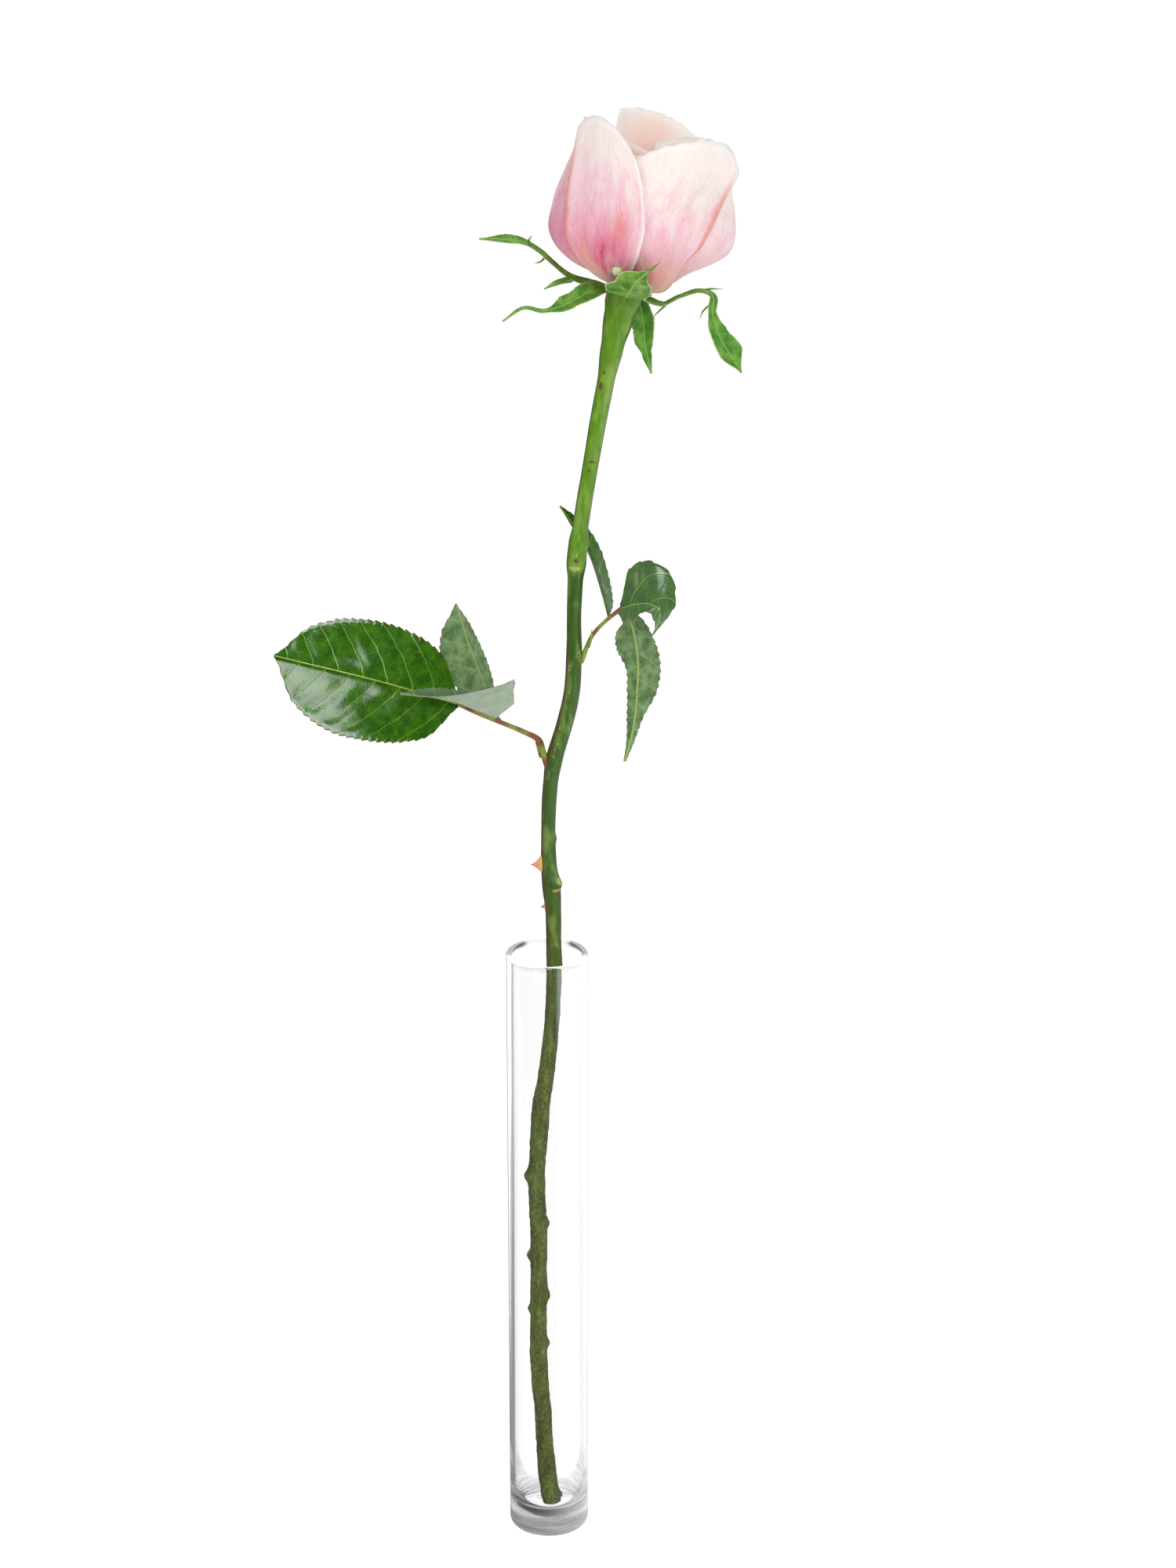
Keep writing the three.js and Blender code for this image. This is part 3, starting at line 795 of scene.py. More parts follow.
@dataclass(frozen=True)
class ClearGlass(Finish):
    """Drawn glass, clear in the wall, with painted shade: grey and streaked where the foot is thick,
    grey at the lip and dark along its edges; light trapped in the wall is painted as a glow.
    """

    name: str = "drawn_glass"
    wall: Colour = (0.985, 0.99, 0.988)
    # painted shade: the dark line along the glass where it is seen edge-on
    edge_shade: Colour = (0.16, 0.17, 0.17)
    # painted shade: the grey seen through the thick foot, and the dark streaks in it
    foot: Colour = (0.8, 0.81, 0.8)
    streak_shade: Colour = (0.34, 0.35, 0.35)
    # painted shade: a grey lip ring with dark crescents at its left and right
    lip: Colour = (0.85, 0.86, 0.86)
    lip_flank_shade: Colour = (0.12, 0.125, 0.125)
    # painted light: a glow of the glass where light is trapped in the wall, dimmer near the foot
    painted_glow: Colour = (0.5, 0.5, 0.5)
    painted_glow_foot: Colour = (0.25, 0.25, 0.25)
    refraction: float = 1.47
    foot_middle: float = 0.008
    foot_rise: float = 0.024
    lip_bottom: float = 0.2345
    radius: float = 0.015
    wall_from: float = 0.9
    streak_scale: float = 70.0
    wave_scale: float = 60.0

    def draw(self, tree: Tree, shader: bpy.types.Node) -> None:
        """Draws the painted grey shade and dark streaks of the foot, the painted shade of the lip and
        edges, and a painted glow where light is trapped in the wall.

        Args:
            tree: the material's nodes.
            shader: the shader to feed.
        """
        tree.fill(shader, Transmission_Weight=1.0, IOR=self.refraction, Roughness=0.0)
        place = tree.place()
        across, ahead, height = tree.parts(place)
        aside = tree.sum("DIVIDE", tree.sum("ABSOLUTE", across), self.radius)
        grazing = tree.node("ShaderNodeLayerWeight").outputs["Facing"]
        # painted shade: darker where the glass is seen edge-on
        wall = tree.blend(tree.spread(grazing, 0.74, 0.86), self.wall, self.edge_shade)
        # painted shade: dark crescents at the left and right of the lip, on a grey ring
        flank_shade = tree.spread(aside, 0.45, 0.62)
        flank_shade = tree.times(flank_shade, tree.spread(ahead, -0.005, -0.001))
        ring = tree.blend(flank_shade, self.lip, self.lip_flank_shade)
        upper = tree.blend(tree.spread(height, self.lip_bottom, self.lip_bottom + 0.001), wall, ring)
        # painted shade: the thick foot, below a line that rises towards the outside, is tinted grey with
        # dark streaks
        risen = tree.times(tree.sum("POWER", aside, 4.0), self.foot_rise)
        edge = tree.sum("SUBTRACT", height, risen)
        low = tree.spread(edge, self.foot_middle + 0.004, self.foot_middle)
        square = tree.sum("ADD", tree.sum("POWER", across, 2.0), tree.sum("POWER", ahead, 2.0))
        outside = tree.sum("GREATER_THAN", square, (self.wall_from * self.radius) ** 2)
        low = tree.times(low, outside)
        flat = tree.stretch(place, (1.0, 1.0, 8.0))
        level = tree.group("streaks", Vector=flat, Scale=self.streak_scale)
        thick = tree.blend(tree.times(level, 0.9), self.foot, self.streak_shade)
        tree.feed(shader.inputs["Base Color"], tree.blend(low, upper, thick))
        waves = tree.noise(tree.stretch(place, (1.0, 1.0, 0.25)), self.wave_scale, 1.0)
        ripples = tree.times(tree.times(level, low), 0.6)
        tree.feed(shader.inputs["Normal"], tree.bump(tree.sum("ADD", waves, ripples), 0.3, 0.4))
        # painted light: glass glows where light is trapped after two mirrorings, dimmer near the foot
        trapped = tree.spread(tree.node("ShaderNodeLightPath").outputs["Glossy Depth"], 2.0, 3.0)
        painted_glow_tint = tree.blend(tree.spread(height, 0.03, 0.01), self.painted_glow, self.painted_glow_foot)
        tree.fill(shader, Emission_Color=tree.blend(trapped, BLACK, painted_glow_tint), Emission_Strength=1.0)


@dataclass(frozen=True)
class PetalSkin(Finish):
    """One side of a petal: pale, with fine veins fanning up from a deeper foot."""

    name: str = "petal_outside"
    foot: Colour = colour(232, 206, 168)
    low: Colour = colour(240, 164, 186)
    body: Colour = colour(249, 209, 217)
    top: Colour = colour(253, 242, 236)
    blush: Colour = colour(212, 62, 116)
    # peach for warm patches and edges: partly the petal's own colour, partly painted warm shade deep in
    # the bloom and along rolled edges
    warm: Colour = colour(234, 130, 104)
    rim: Colour = colour(254, 250, 246)
    vein: Colour = colour(226, 112, 148)
    vein_share: float = 0.6
    fine_streaks: Triple = (110.0, 9.0, 1.0)
    broad_streaks: Triple = (7.0, 4.0, 1.0)
    net_cells: Triple = (56.0, 16.0, 1.0)
    wander: float = 0.16
    mottling: float = 0.55

    def draw(self, tree: Tree, shader: bpy.types.Node) -> None:
        """Draws the bands, the veins, the blush and the rim.

        Args:
            tree: the material's nodes.
            shader: the shader to feed.
        """
        spot = tree.spot()
        along = tree.parts(spot)[1]
        wander = tree.noise(tree.stretch(spot, (5.0, 4.0, 1.0)), 1.0, 3.0)
        moved = tree.node("ShaderNodeVectorMath", operation="ADD")
        tree.feed(moved.inputs[0], spot)
        tree.feed(moved.inputs[1], tree.times(wander, self.wander))
        bent = moved.outputs[0]
        fine = tree.group("streaks", Vector=tree.stretch(bent, self.fine_streaks), Scale=1.0)
        broad = tree.group("streaks", Vector=tree.stretch(bent, self.broad_streaks), Scale=1.0)
        cells = tree.stretch(bent, self.net_cells)
        web = tree.group("vein net", Vector=cells, Scale=1.0, Width=0.13)
        mottle = tree.noise(spot, 9.0, 6.0)
        shifted = tree.times(tree.sum("SUBTRACT", mottle, 0.5), self.mottling)
        level = tree.sum("ADD", along, shifted)
        height = tree.sum("SUBTRACT", level, tree.marked("pink"))
        paling = tree.sum("ADD", level, tree.marked("pink"))
        base = tree.blend(tree.spread(paling, 0.24, 0.4), self.foot, self.low)
        base = tree.blend(tree.spread(height, 0.38, 0.7), base, self.body)
        base = tree.blend(tree.spread(height, 0.66, 1.0), base, self.top)
        veins = tree.sum("MAXIMUM", tree.times(fine, 0.6), web)
        veins = tree.times(veins, tree.spread(height, 1.0, 0.3, 0.3, 1.0))
        base = tree.blend(tree.times(veins, self.vein_share), base, self.vein)
        pale = tree.times(broad, tree.spread(along, 0.3, 0.8, 0.1, 0.4))
        base = tree.blend(pale, base, self.top)
        flushed = tree.times(tree.marked("blush"), tree.spread(mottle, 0.35, 0.6, 0.5, 1.0))
        base = tree.blend(flushed, base, self.blush)
        # painted warm shade, with the petal's own orange: peach where the warm tint is marked
        base = tree.blend(tree.marked("warm_tint_and_shade"), base, self.warm)
        base = tree.blend(tree.marked("rim"), base, self.rim)
        relief = tree.sum("SUBTRACT", tree.times(broad, 2.5), veins)
        tree.fill(
            shader,
            Base_Color=base,
            Roughness=tree.spread(mottle, 0.3, 0.7, 0.46, 0.6),
            Subsurface_Weight=0.2,
            Subsurface_Radius=(1.0, 0.55, 0.5),
            Subsurface_Scale=0.0012,
            Specular_IOR_Level=0.35,
            Sheen_Weight=0.1,
            Normal=tree.bump(relief, 0.5, 0.2),
        )


@dataclass(frozen=True)
class PetalLining(PetalSkin):
    """The inner side of a petal: creamy, peach deep down, partly its own colour and partly painted warm
    shade.
    """

    name: str = "petal_inside"
    foot: Colour = colour(230, 150, 100)
    low: Colour = colour(242, 184, 150)
    body: Colour = colour(250, 224, 204)
    top: Colour = colour(252, 246, 238)
    blush: Colour = colour(246, 200, 190)
    warm: Colour = colour(244, 160, 134)
    vein: Colour = colour(244, 196, 186)
    vein_share: float = 0.3


@dataclass(frozen=True)
class LeafSkin(Finish):
    """One side of a leaflet, mapped by the distance along and across its rib in centimetres."""

    name: str = "leaf_upper"
    blade: Colour = colour(28, 82, 0)
    patch: Colour = colour(52, 110, 4)
    vein: Colour = colour(132, 166, 56)
    rib: Colour = colour(166, 188, 84)
    margin: Colour = colour(104, 62, 36)
    vein_share: float = 0.7
    net_share: float = 0.24
    hoar: Colour = colour(206, 214, 204)
    down: float = 0.4
    shine: float = 0.5
    gloss: tuple[float, float] = (0.1, 0.16)
    relief: float = -0.2
    vein_spacing: float = 0.92
    vein_lean: float = 0.5
    vein_bend: float = 0.16
    vein_width: float = 0.035
    coarse_net: float = 3.6
    fine_net: float = 13.0

    def draw(self, tree: Tree, shader: bpy.types.Node) -> None:
        """Draws the rib, side veins and net on a mottled blade with a brown edge.

        Args:
            tree: the material's nodes.
            shader: the shader to feed.
        """
        spot = tree.spot()
        along, across, _ = tree.parts(spot)
        wander = tree.times(tree.sum("SUBTRACT", tree.noise(spot, 1.6, 2.0), 0.5), 0.16)
        side = tree.group(
            "side veins",
            Along=tree.sum("ADD", along, wander),
            Across=across,
            Spacing=self.vein_spacing,
            Lean=self.vein_lean,
            Bend=self.vein_bend,
            Width=self.vein_width,
        )
        rib = tree.spread(tree.sum("ABSOLUTE", across), 0.012, 0.036, 1.0, 0.0)
        coarse = tree.group("vein net", Vector=spot, Scale=self.coarse_net, Width=0.04)
        fine = tree.group("vein net", Vector=spot, Scale=self.fine_net, Width=0.1)
        net = tree.sum("MAXIMUM", coarse, tree.times(fine, 0.6))
        mottle = tree.noise(spot, 2.2, 4.0)
        base = tree.blend(tree.spread(mottle, 0.35, 0.68), self.blade, self.patch)
        base = tree.blend(tree.times(net, self.net_share), base, self.vein)
        base = tree.blend(tree.times(side, self.vein_share), base, self.vein)
        base = tree.blend(rib, base, self.rib)
        base = tree.blend(tree.times(tree.marked("sheen"), self.down), base, self.hoar)
        base = tree.blend(tree.marked("margin"), base, self.margin)
        speckle = tree.noise(spot, 24.0, 2.0)
        raised = tree.sum("ADD", side, tree.times(net, 0.08))
        raised = tree.sum("ADD", raised, mottle)
        height = tree.times(raised, math.copysign(1.0, self.relief))
        tree.fill(
            shader,
            Base_Color=base,
            Roughness=tree.spread(speckle, 0.3, 0.7, *self.gloss),
            Specular_IOR_Level=self.shine,
            Subsurface_Weight=0.08,
            Subsurface_Radius=(0.4, 1.0, 0.2),
            Subsurface_Scale=0.001,
            Normal=tree.bump(height, abs(self.relief), 0.3),
        )


@dataclass(frozen=True)
class LeafLining(LeafSkin):
    """The pale dull underside of a leaflet, its veins standing proud."""

    name: str = "leaf_under"
    blade: Colour = colour(70, 108, 58)
    patch: Colour = colour(122, 154, 104)
    vein: Colour = colour(168, 188, 130)
    rib: Colour = colour(158, 176, 96)
    vein_share: float = 0.6
    net_share: float = 0.36
    down: float = 1.0
    shine: float = 0.3
    gloss: tuple[float, float] = (0.5, 0.66)
    relief: float = 0.5


@dataclass(frozen=True)
class SepalSkin(LeafSkin):
    """The green outer side of a sepal."""

    name: str = "sepal_outside"
    blade: Colour = colour(66, 118, 18)
    patch: Colour = colour(122, 172, 56)
    vein: Colour = colour(150, 188, 100)
    rib: Colour = colour(148, 184, 90)
    margin: Colour = colour(206, 218, 180)
    vein_share: float = 0.25
    net_share: float = 0.25
    shine: float = 0.45
    gloss: tuple[float, float] = (0.36, 0.5)
    relief: float = 0.15


@dataclass(frozen=True)
class SepalLining(SepalSkin):
    """The downy inner side of a sepal."""

    name: str = "sepal_inside"
    blade: Colour = colour(56, 124, 14)
    patch: Colour = colour(112, 172, 58)
    gloss: tuple[float, float] = (0.6, 0.75)


@dataclass(frozen=True)
class Bark(Finish):
    """The stem's skin, fresh green above a node, darker and browner down to its cut foot."""

    name: str = "cane_bark"
    fresh: Colour = colour(100, 150, 14)
    deep: Colour = colour(62, 100, 16)
    old: Colour = colour(110, 124, 14)
    drowned: Colour = colour(52, 58, 8)
    # dark green for the streaks, and painted shade towards the stem's edges where it is seen edge-on
    shade: Colour = colour(18, 34, 6)
    flush: Colour = colour(96, 66, 50)
    scar: Colour = colour(104, 66, 34)
    pale: Colour = colour(168, 196, 96)
    fleck: Colour = colour(196, 200, 168)
    hip_height: float = 0.455
    node_height: float = 0.377
    lip_height: float = 0.237
    streak_scale: float = 1100.0
    blot_scale: float = 260.0
    crust_scale: float = 1700.0
    fleck_scale: float = 620.0

    def draw(self, tree: Tree, shader: bpy.types.Node) -> None:
        """Draws the bands by height, the streaks, the flush of brown, scars, flecks and painted shade
        towards the edges.

        Args:
            tree: the material's nodes.
            shader: the shader to feed.
        """
        place = tree.place()
        height = tree.parts(place)[2]
        upright = tree.stretch(place, (1.0, 1.0, 0.07))
        streaks = tree.group("streaks", Vector=upright, Scale=self.streak_scale)
        blots = tree.noise(tree.stretch(place, (1.0, 1.0, 0.35)), self.blot_scale, 4.0)
        upper = tree.spread(height, self.node_height - 0.002, self.node_height + 0.004)
        base = tree.blend(upper, self.deep, self.fresh)
        lower = tree.spread(height, self.lip_height + 0.03, self.lip_height - 0.06)
        base = tree.blend(lower, base, self.old)
        darker = tree.blend(0.4, base, self.shade)
        base = tree.blend(tree.times(streaks, 0.7), base, darker)
        lighter = tree.blend(0.6, base, self.pale)
        base = tree.blend(tree.times(tree.spread(blots, 0.48, 0.66), 0.5), base, lighter)
        base = tree.blend(tree.marked("pale"), base, self.pale)
        crust = tree.noise(tree.stretch(place, (1.0, 1.0, 0.5)), self.crust_scale, 5.0)
        rough = tree.times(lower, tree.spread(blots, 0.34, 0.48, 0.6, 0.0))
        base = tree.blend(rough, base, self.drowned)
        pits = tree.times(lower, tree.spread(crust, 0.48, 0.62, 0.0, 0.5))
        base = tree.blend(pits, base, self.drowned)
        crests = tree.times(lower, tree.spread(crust, 0.46, 0.34, 0.0, 0.35))
        base = tree.blend(crests, base, self.pale)
        base = tree.blend(tree.marked("flush"), base, self.flush)
        base = tree.blend(tree.marked("scar"), base, self.scar)
        grit = tree.node("ShaderNodeTexVoronoi", feature="F1")
        tree.fill(grit, Vector=tree.stretch(place, (1.0, 1.0, 0.6)), Scale=self.fleck_scale)
        dots = tree.spread(grit.outputs["Distance"], 0.08, 0.16, 1.0, 0.0)
        below_hip = tree.spread(height, self.hip_height, self.node_height - 0.05)
        dots = tree.times(dots, tree.times(below_hip, tree.spread(blots, 0.5, 0.6)))
        base = tree.blend(dots, base, self.fleck)
        # painted shade: the bark darkens towards its edges, where it is seen edge-on
        turned = tree.node("ShaderNodeLayerWeight").outputs["Facing"]
        base = tree.blend(tree.spread(turned, 0.2, 0.95, 0.0, 0.6), base, self.shade)
        crust = tree.times(crust, tree.spread(lower, 0.0, 1.0, 0.6, 5.0))
        relief = tree.sum("ADD", streaks, tree.sum("ADD", dots, crust))
        tree.fill(
            shader,
            Base_Color=base,
            Roughness=tree.spread(height, 0.2, 0.4, 0.6, 0.3),
            Specular_IOR_Level=0.45,
            Normal=tree.bump(relief, 0.35, 0.15),
        )


@dataclass(frozen=True)
class PrickleHorn(Finish):
    """A prickle: yellow at its root, pink-orange above and red-brown at its point."""

    name: str = "prickle_horn"
    root: Colour = colour(222, 190, 110)
    shaft: Colour = colour(228, 148, 112)
    point: Colour = colour(150, 62, 40)

    def draw(self, tree: Tree, shader: bpy.types.Node) -> None:
        """Draws the bands from root to point.

        Args:
            tree: the material's nodes.
            shader: the shader to feed.
        """
        out = tree.marked("outward")
        grain = tree.noise(tree.place(), 900.0, 3.0)
        reach = tree.sum("ADD", out, tree.times(tree.sum("SUBTRACT", grain, 0.5), 0.25))
        base = tree.blend(tree.spread(reach, 0.2, 0.55), self.root, self.shaft)
        base = tree.blend(tree.spread(reach, 0.65, 0.95), base, self.point)
        rough = tree.spread(grain, 0.3, 0.7, 0.38, 0.5)
        tree.fill(
            shader, Base_Color=base, Roughness=rough, Subsurface_Weight=0.2, Subsurface_Scale=0.001
        )


@dataclass(frozen=True)
class BeadSkin(Finish):
    """The pale green bead between petals and sepals."""

    name: str = "bead_skin"
    light: Colour = colour(226, 234, 196)
    shade: Colour = colour(170, 196, 110)

    def draw(self, tree: Tree, shader: bpy.types.Node) -> None:
        """Draws soft streaks.

        Args:
            tree: the material's nodes.
            shader: the shader to feed.
        """
        grain = tree.noise(tree.place(), 420.0, 3.0)
        base = tree.blend(grain, self.shade, self.light)
        rough = tree.spread(grain, 0.3, 0.7, 0.35, 0.5)
        tree.fill(
            shader, Base_Color=base, Roughness=rough, Subsurface_Weight=0.2, Subsurface_Scale=0.001
        )


@dataclass(frozen=True)
class StalkSkin(Finish):
    """The skin of a leaf stalk: green, flushed with red-brown."""

    name: str = "stalk_skin"
    green: Colour = colour(134, 158, 62)
    flush: Colour = colour(132, 74, 46)

    def draw(self, tree: Tree, shader: bpy.types.Node) -> None:
        """Draws streaks of flush on green.

        Args:
            tree: the material's nodes.
            shader: the shader to feed.
        """
        patches = tree.noise(tree.place(), 130.0, 3.0)
        base = tree.blend(tree.spread(patches, 0.4, 0.62), self.green, self.flush)
        tree.fill(shader, Base_Color=base, Roughness=tree.spread(patches, 0.3, 0.7, 0.4, 0.55))


@dataclass(frozen=True)
class PaleFloor(Finish):
    """A plain white sweep that glows, and looks dim in mirrored light where it lies in front."""

    name: str = "pale_floor"
    light: Colour = (0.9, 0.9, 0.9)
    dark: Colour = (0.88, 0.88, 0.88)
    dim: Colour = (0.25, 0.25, 0.25)
    panel: Colour = (7.0, 7.1, 7.2)
    glow: float = 0.3
    plain_glow: float = 1.27
    bright_side: float = 0.7

    def draw(self, tree: Tree, shader: bpy.types.Node) -> None:
        """Draws a barely uneven white; mirrored, its left is dim and a bright panel lies in front.

        Args:
            tree: the material's nodes.
            shader: the shader to feed.
        """
        place = tree.place()
        white = tree.blend(tree.noise(place, 5.0), self.dark, self.light)
        across, ahead, _ = tree.parts(place)
        nearer = tree.sum("MINIMUM", ahead, 0.0)
        side = tree.sum("ADD", across, tree.times(nearer, self.bright_side))
        bounced, through, seen = tree.kinds_of_light()
        hidden = tree.times(tree.spread(side, 0.03, -0.03), bounced)
        aslant = tree.sum("DIVIDE", across, tree.sum("SUBTRACT", 0.001, nearer))
        strip = tree.times(tree.spread(aslant, 0.5, 0.6), tree.spread(aslant, 1.1, 0.95))
        strip = tree.times(tree.times(strip, tree.spread(ahead, -0.1, -0.2)), bounced)
        plain = tree.sum("MAXIMUM", seen, through)
        base = tree.blend(plain, tree.blend(hidden, white, self.dim), BLACK)
        shown = tree.blend(strip, tree.blend(hidden, white, BLACK), self.panel)
        glow = tree.spread(plain, 0.0, 1.0, self.glow, self.plain_glow)
        tree.fill(
            shader,
            Base_Color=base,
            Emission_Color=shown,
            Emission_Strength=glow,
            Roughness=0.9,
            Specular_IOR_Level=0.1,
        )


# ------------------------------------------------------------------ the vase


@dataclass
class BudVase:
    """A glass tube with a thick floor, dished inside, and a fire-polished lip."""

    height: float = 237.0
    radius: float = 15.0
    wall: float = 1.8
    floor: float = 5.2
    foot_round: float = 2.5
    dish_round: float = 12.5
    lip_round: float = 0.85
    sides: int = 160

    def _round(
        self, piece: bpy.types.Object, radius: float, height: float, size: float, steps: int = 8
    ) -> None:
        """Rounds the ring of edges at a radius and a height.

        Args:
            piece: the vase, in edit mode.
            radius: the ring's radius.
            height: the ring's height.
            size: how far the rounding reaches.
            steps: faces across the rounding.
        """
        bpy.ops.mesh.select_mode(type="EDGE")
        bpy.ops.mesh.select_all(action="DESELECT")
        shape = bmesh.from_edit_mesh(piece.data)
        for edge in shape.edges:
            ends = [vertex.co / MM for vertex in edge.verts]
            off = max(abs(end.xy.length - radius) + abs(end.z - height) for end in ends)
            edge.select_set(off < 0.05)
        bmesh.update_edit_mesh(piece.data)
        bpy.ops.mesh.bevel(offset=size * MM, segments=steps, affect="EDGES")

    def build(self) -> bpy.types.Object:
        """Shapes the vase from a solid rod: hollowed, then rounded at lip, dish and foot.

        Returns:
            The vase.
        """
        deselect()
        bpy.ops.mesh.primitive_cylinder_add(
            vertices=self.sides,
            radius=self.radius * MM,
            depth=self.height * MM,
            location=(0, 0, self.height * MM / 2),
        )
        piece = named("glass_vase")
        bpy.ops.object.transform_apply(location=True)
        bpy.ops.object.mode_set(mode="EDIT")
        bpy.ops.mesh.select_mode(type="FACE")
        bpy.ops.mesh.select_all(action="DESELECT")
        shape = bmesh.from_edit_mesh(piece.data)
        for face in shape.faces:
            face.select_set(face.normal.z > 0.9)
        bmesh.update_edit_mesh(piece.data)
        bpy.ops.mesh.inset(thickness=self.wall * MM)
        sink = (0, 0, (self.floor - self.height) * MM)
        bpy.ops.mesh.extrude_region_move(TRANSFORM_OT_translate={"value": sink})
        inside = self.radius - self.wall
        self._round(piece, self.radius, self.height, self.lip_round)
        self._round(piece, inside, self.height, self.lip_round)
        self._round(piece, inside, self.floor, self.dish_round, 28)
        self._round(piece, self.radius, 0.0, self.foot_round)
        bpy.ops.object.mode_set(mode="OBJECT")
        bpy.ops.object.shade_smooth_by_angle(angle=math.radians(40))
        return piece

    def dress(self) -> None:
        """Builds the vase in glass, in the place of its node."""
        piece = self.build()
        dress(piece, ClearGlass().material())
        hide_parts("vase")
        seat(piece)


# ------------------------------------------------------------------ the stem


@dataclass(frozen=True)
class Knob:
    """A swelling or old bud scar: its height, the way round, how proud, and half its length."""

    height: float
    turn: float
    out: float
    half: float


@dataclass(frozen=True)
class Prickle:
    """A prickle: height, way round, length, half its root's length, and its point's rise."""

    height: float
    turn: float
    length: float
    root: float
    rise: float


@dataclass(frozen=True)
class Spot:
    """A mark on the bark: its height, the way round, its half height and half width."""

    height: float
    turn: float
    tall: float
    wide: float


@dataclass
class Stem:
    """The rose's cane, from its cut foot in the vase up to the hip below the petals."""

    head: Head
    line: tuple[Triple, ...] = (
        (1.2, -2.4, 7.7), (-0.5, -3.6, 22), (-2.4, -2.4, 52), (-3.6, -1.3, 68), (-3.7, 0.5, 97),
        (-3.6, 2.1, 121), (-4.4, 3.7, 145), (-3.4, 4.7, 160), (-2.7, 5.4, 171), (0.6, 6.8, 193),
        (2.6, 8.4, 220), (2.4, 9.6, 238), (2.1, 10.8, 252), (0.8, 11.7, 266), (0.5, 12.6, 280),
        (1.4, 13.7, 298), (3, 14.4, 308), (6.5, 15.2, 320), (9, 15.9, 331), (10, 16.8, 345),
        (10, 17.8, 359), (10.5, 18.8, 374), (11.2, 19.4, 384), (13.2, 20.4, 399),
        (15.7, 21.4, 414), (18.3, 22.4, 429.5), (21.2, 23.2, 445), (23.4, 23.7, 457),
    )
    girth: tuple[tuple[float, float], ...] = (
        (7, 3.6), (22, 3.4), (35, 3.1), (68, 3.2), (97, 3.1), (150, 3.25), (168, 3.5), (193, 2.9),
        (226, 3), (238, 2.75), (247, 2.9), (257, 3.3), (269, 2.85), (278, 2.6), (298, 2.75),
        (306, 3.1), (318, 3), (345, 2.9), (359, 2.6), (373, 2.8), (380, 3.6), (387, 3.5),
        (393, 2.9), (414, 2.85), (445, 3.1), (457, 4.05), (469, 5.4), (474, 6.3), (480, 6.6),
    )
    neck: float = 11.0
    hip_depth: float = 2.3
    sides: int = 48
    rings: int = 1000
    lip_height: float = 237.0
    fibre_depths: tuple[float, float] = (0.03, 0.2)
    lump_depths: tuple[float, float] = (0.06, 0.22)
    burr_depth: float = 0.2
    prickle_sunk: float = 1.2
    prickle_half_width: float = 1.2
    prickle_hollow: float = 1.7
    knobs: tuple[Knob, ...] = (
        Knob(144.5, 190, 1.7, 3), Knob(126, -15, 1.2, 2.6), Knob(113, 185, 1.5, 2.4),
        Knob(97, -20, 1.6, 3.4), Knob(91, 175, 1.1, 2.2), Knob(77, 5, 1.2, 2.6),
        Knob(12.5, 0, 1, 2), Knob(260, -42, 1.7, 3.2), Knob(277, -12, 0.6, 2.2),
        Knob(382, 262, 0.9, 2.8),
    )
    prickles: tuple[Prickle, ...] = (
        Prickle(267.3, 196, 4.5, 5.2, 0.3), Prickle(251, 190, 2.1, 2.6, -0.2),
        Prickle(208, 100, 2, 2.6, -0.4), Prickle(335, 80, 3, 3.4, -0.8),
    )
    scars: tuple[Spot, ...] = (
        Spot(381.5, 268, 0.9, 0.9), Spot(444, 240, 1.6, 0.8), Spot(449, 246, 0.8, 0.6),
        Spot(414, 262, 0.7, 0.4), Spot(417, 275, 0.5, 1.6), Spot(256.4, -52, 0.7, 1.6),
    )
    pale_spots: tuple[Spot, ...] = (
        Spot(378.5, 262, 1.0, 2.6), Spot(261, -36, 1.6, 1.4), Spot(257.6, -52, 0.7, 2.0),
    )

    def middle(self) -> Line:
        """Gives the stem's middle line, with the neck and hip square under the head.

        Returns:
            The line, in millimetres.
        """
        neck = self.head.lift(np.array([[0.0, 0.0, -self.neck]]))[0]
        top = self.head.lift(np.array([[0.0, 0.0, -self.hip_depth]]))[0]
        return Line([*self.line, tuple(neck), tuple(top)])

    def _patch(self, spot: Spot, heights: Array, turns: Array) -> Array:
        """Gives 1 in the middle of a spot and 0 away from it.

        Args:
            spot: the spot.
            heights: the points' heights.
            turns: the points' compass directions.

        Returns:
            A share for each point.
        """
        girth = eased(self.girth, heights)
        gap = np.abs((turns - math.radians(spot.turn) + math.pi) % (2 * math.pi) - math.pi)
        away = ((heights - spot.height) / spot.tall) ** 2 + (gap * girth / spot.wide) ** 2
        return np.exp(-away)

    def _radius(self, line: Line, share: Array, angle: Array) -> Array:
        """Gives the stem's radius with its knobs, ribs and rough bark.

        Args:
            line: the stem's middle line.
            share: the share of the length.
            angle: the angle round.

        Returns:
            The radius there, in millimetres.
        """
        points = line.at(share)
        heights = points[:, 2]
        turns = line.turns(share, angle)
        radius = eased(self.girth, heights)
        for knob in self.knobs:
            spot = Spot(knob.height, knob.turn, knob.half * 0.75, (knob.out + 0.8) * 0.9)
            radius = radius + knob.out * self._patch(spot, heights, turns)
        around = np.column_stack([np.cos(turns) * 3, np.sin(turns) * 3, heights * 0.22])
        fibres = roughness_at(around, 0.55, 3.0)
        lumps = roughness_at(around, 1.7, 8.0)
        burrs = roughness_at(around * (1.0, 1.0, 2.4), 0.5, 12.0)
        in_vase = ramp(heights, self.lip_height + 12, self.lip_height - 40)
        for field, (bare, added) in ((fibres, self.fibre_depths), (lumps, self.lump_depths)):
            radius = radius + field * (bare + added * in_vase)
        return radius + self.burr_depth * burrs * in_vase

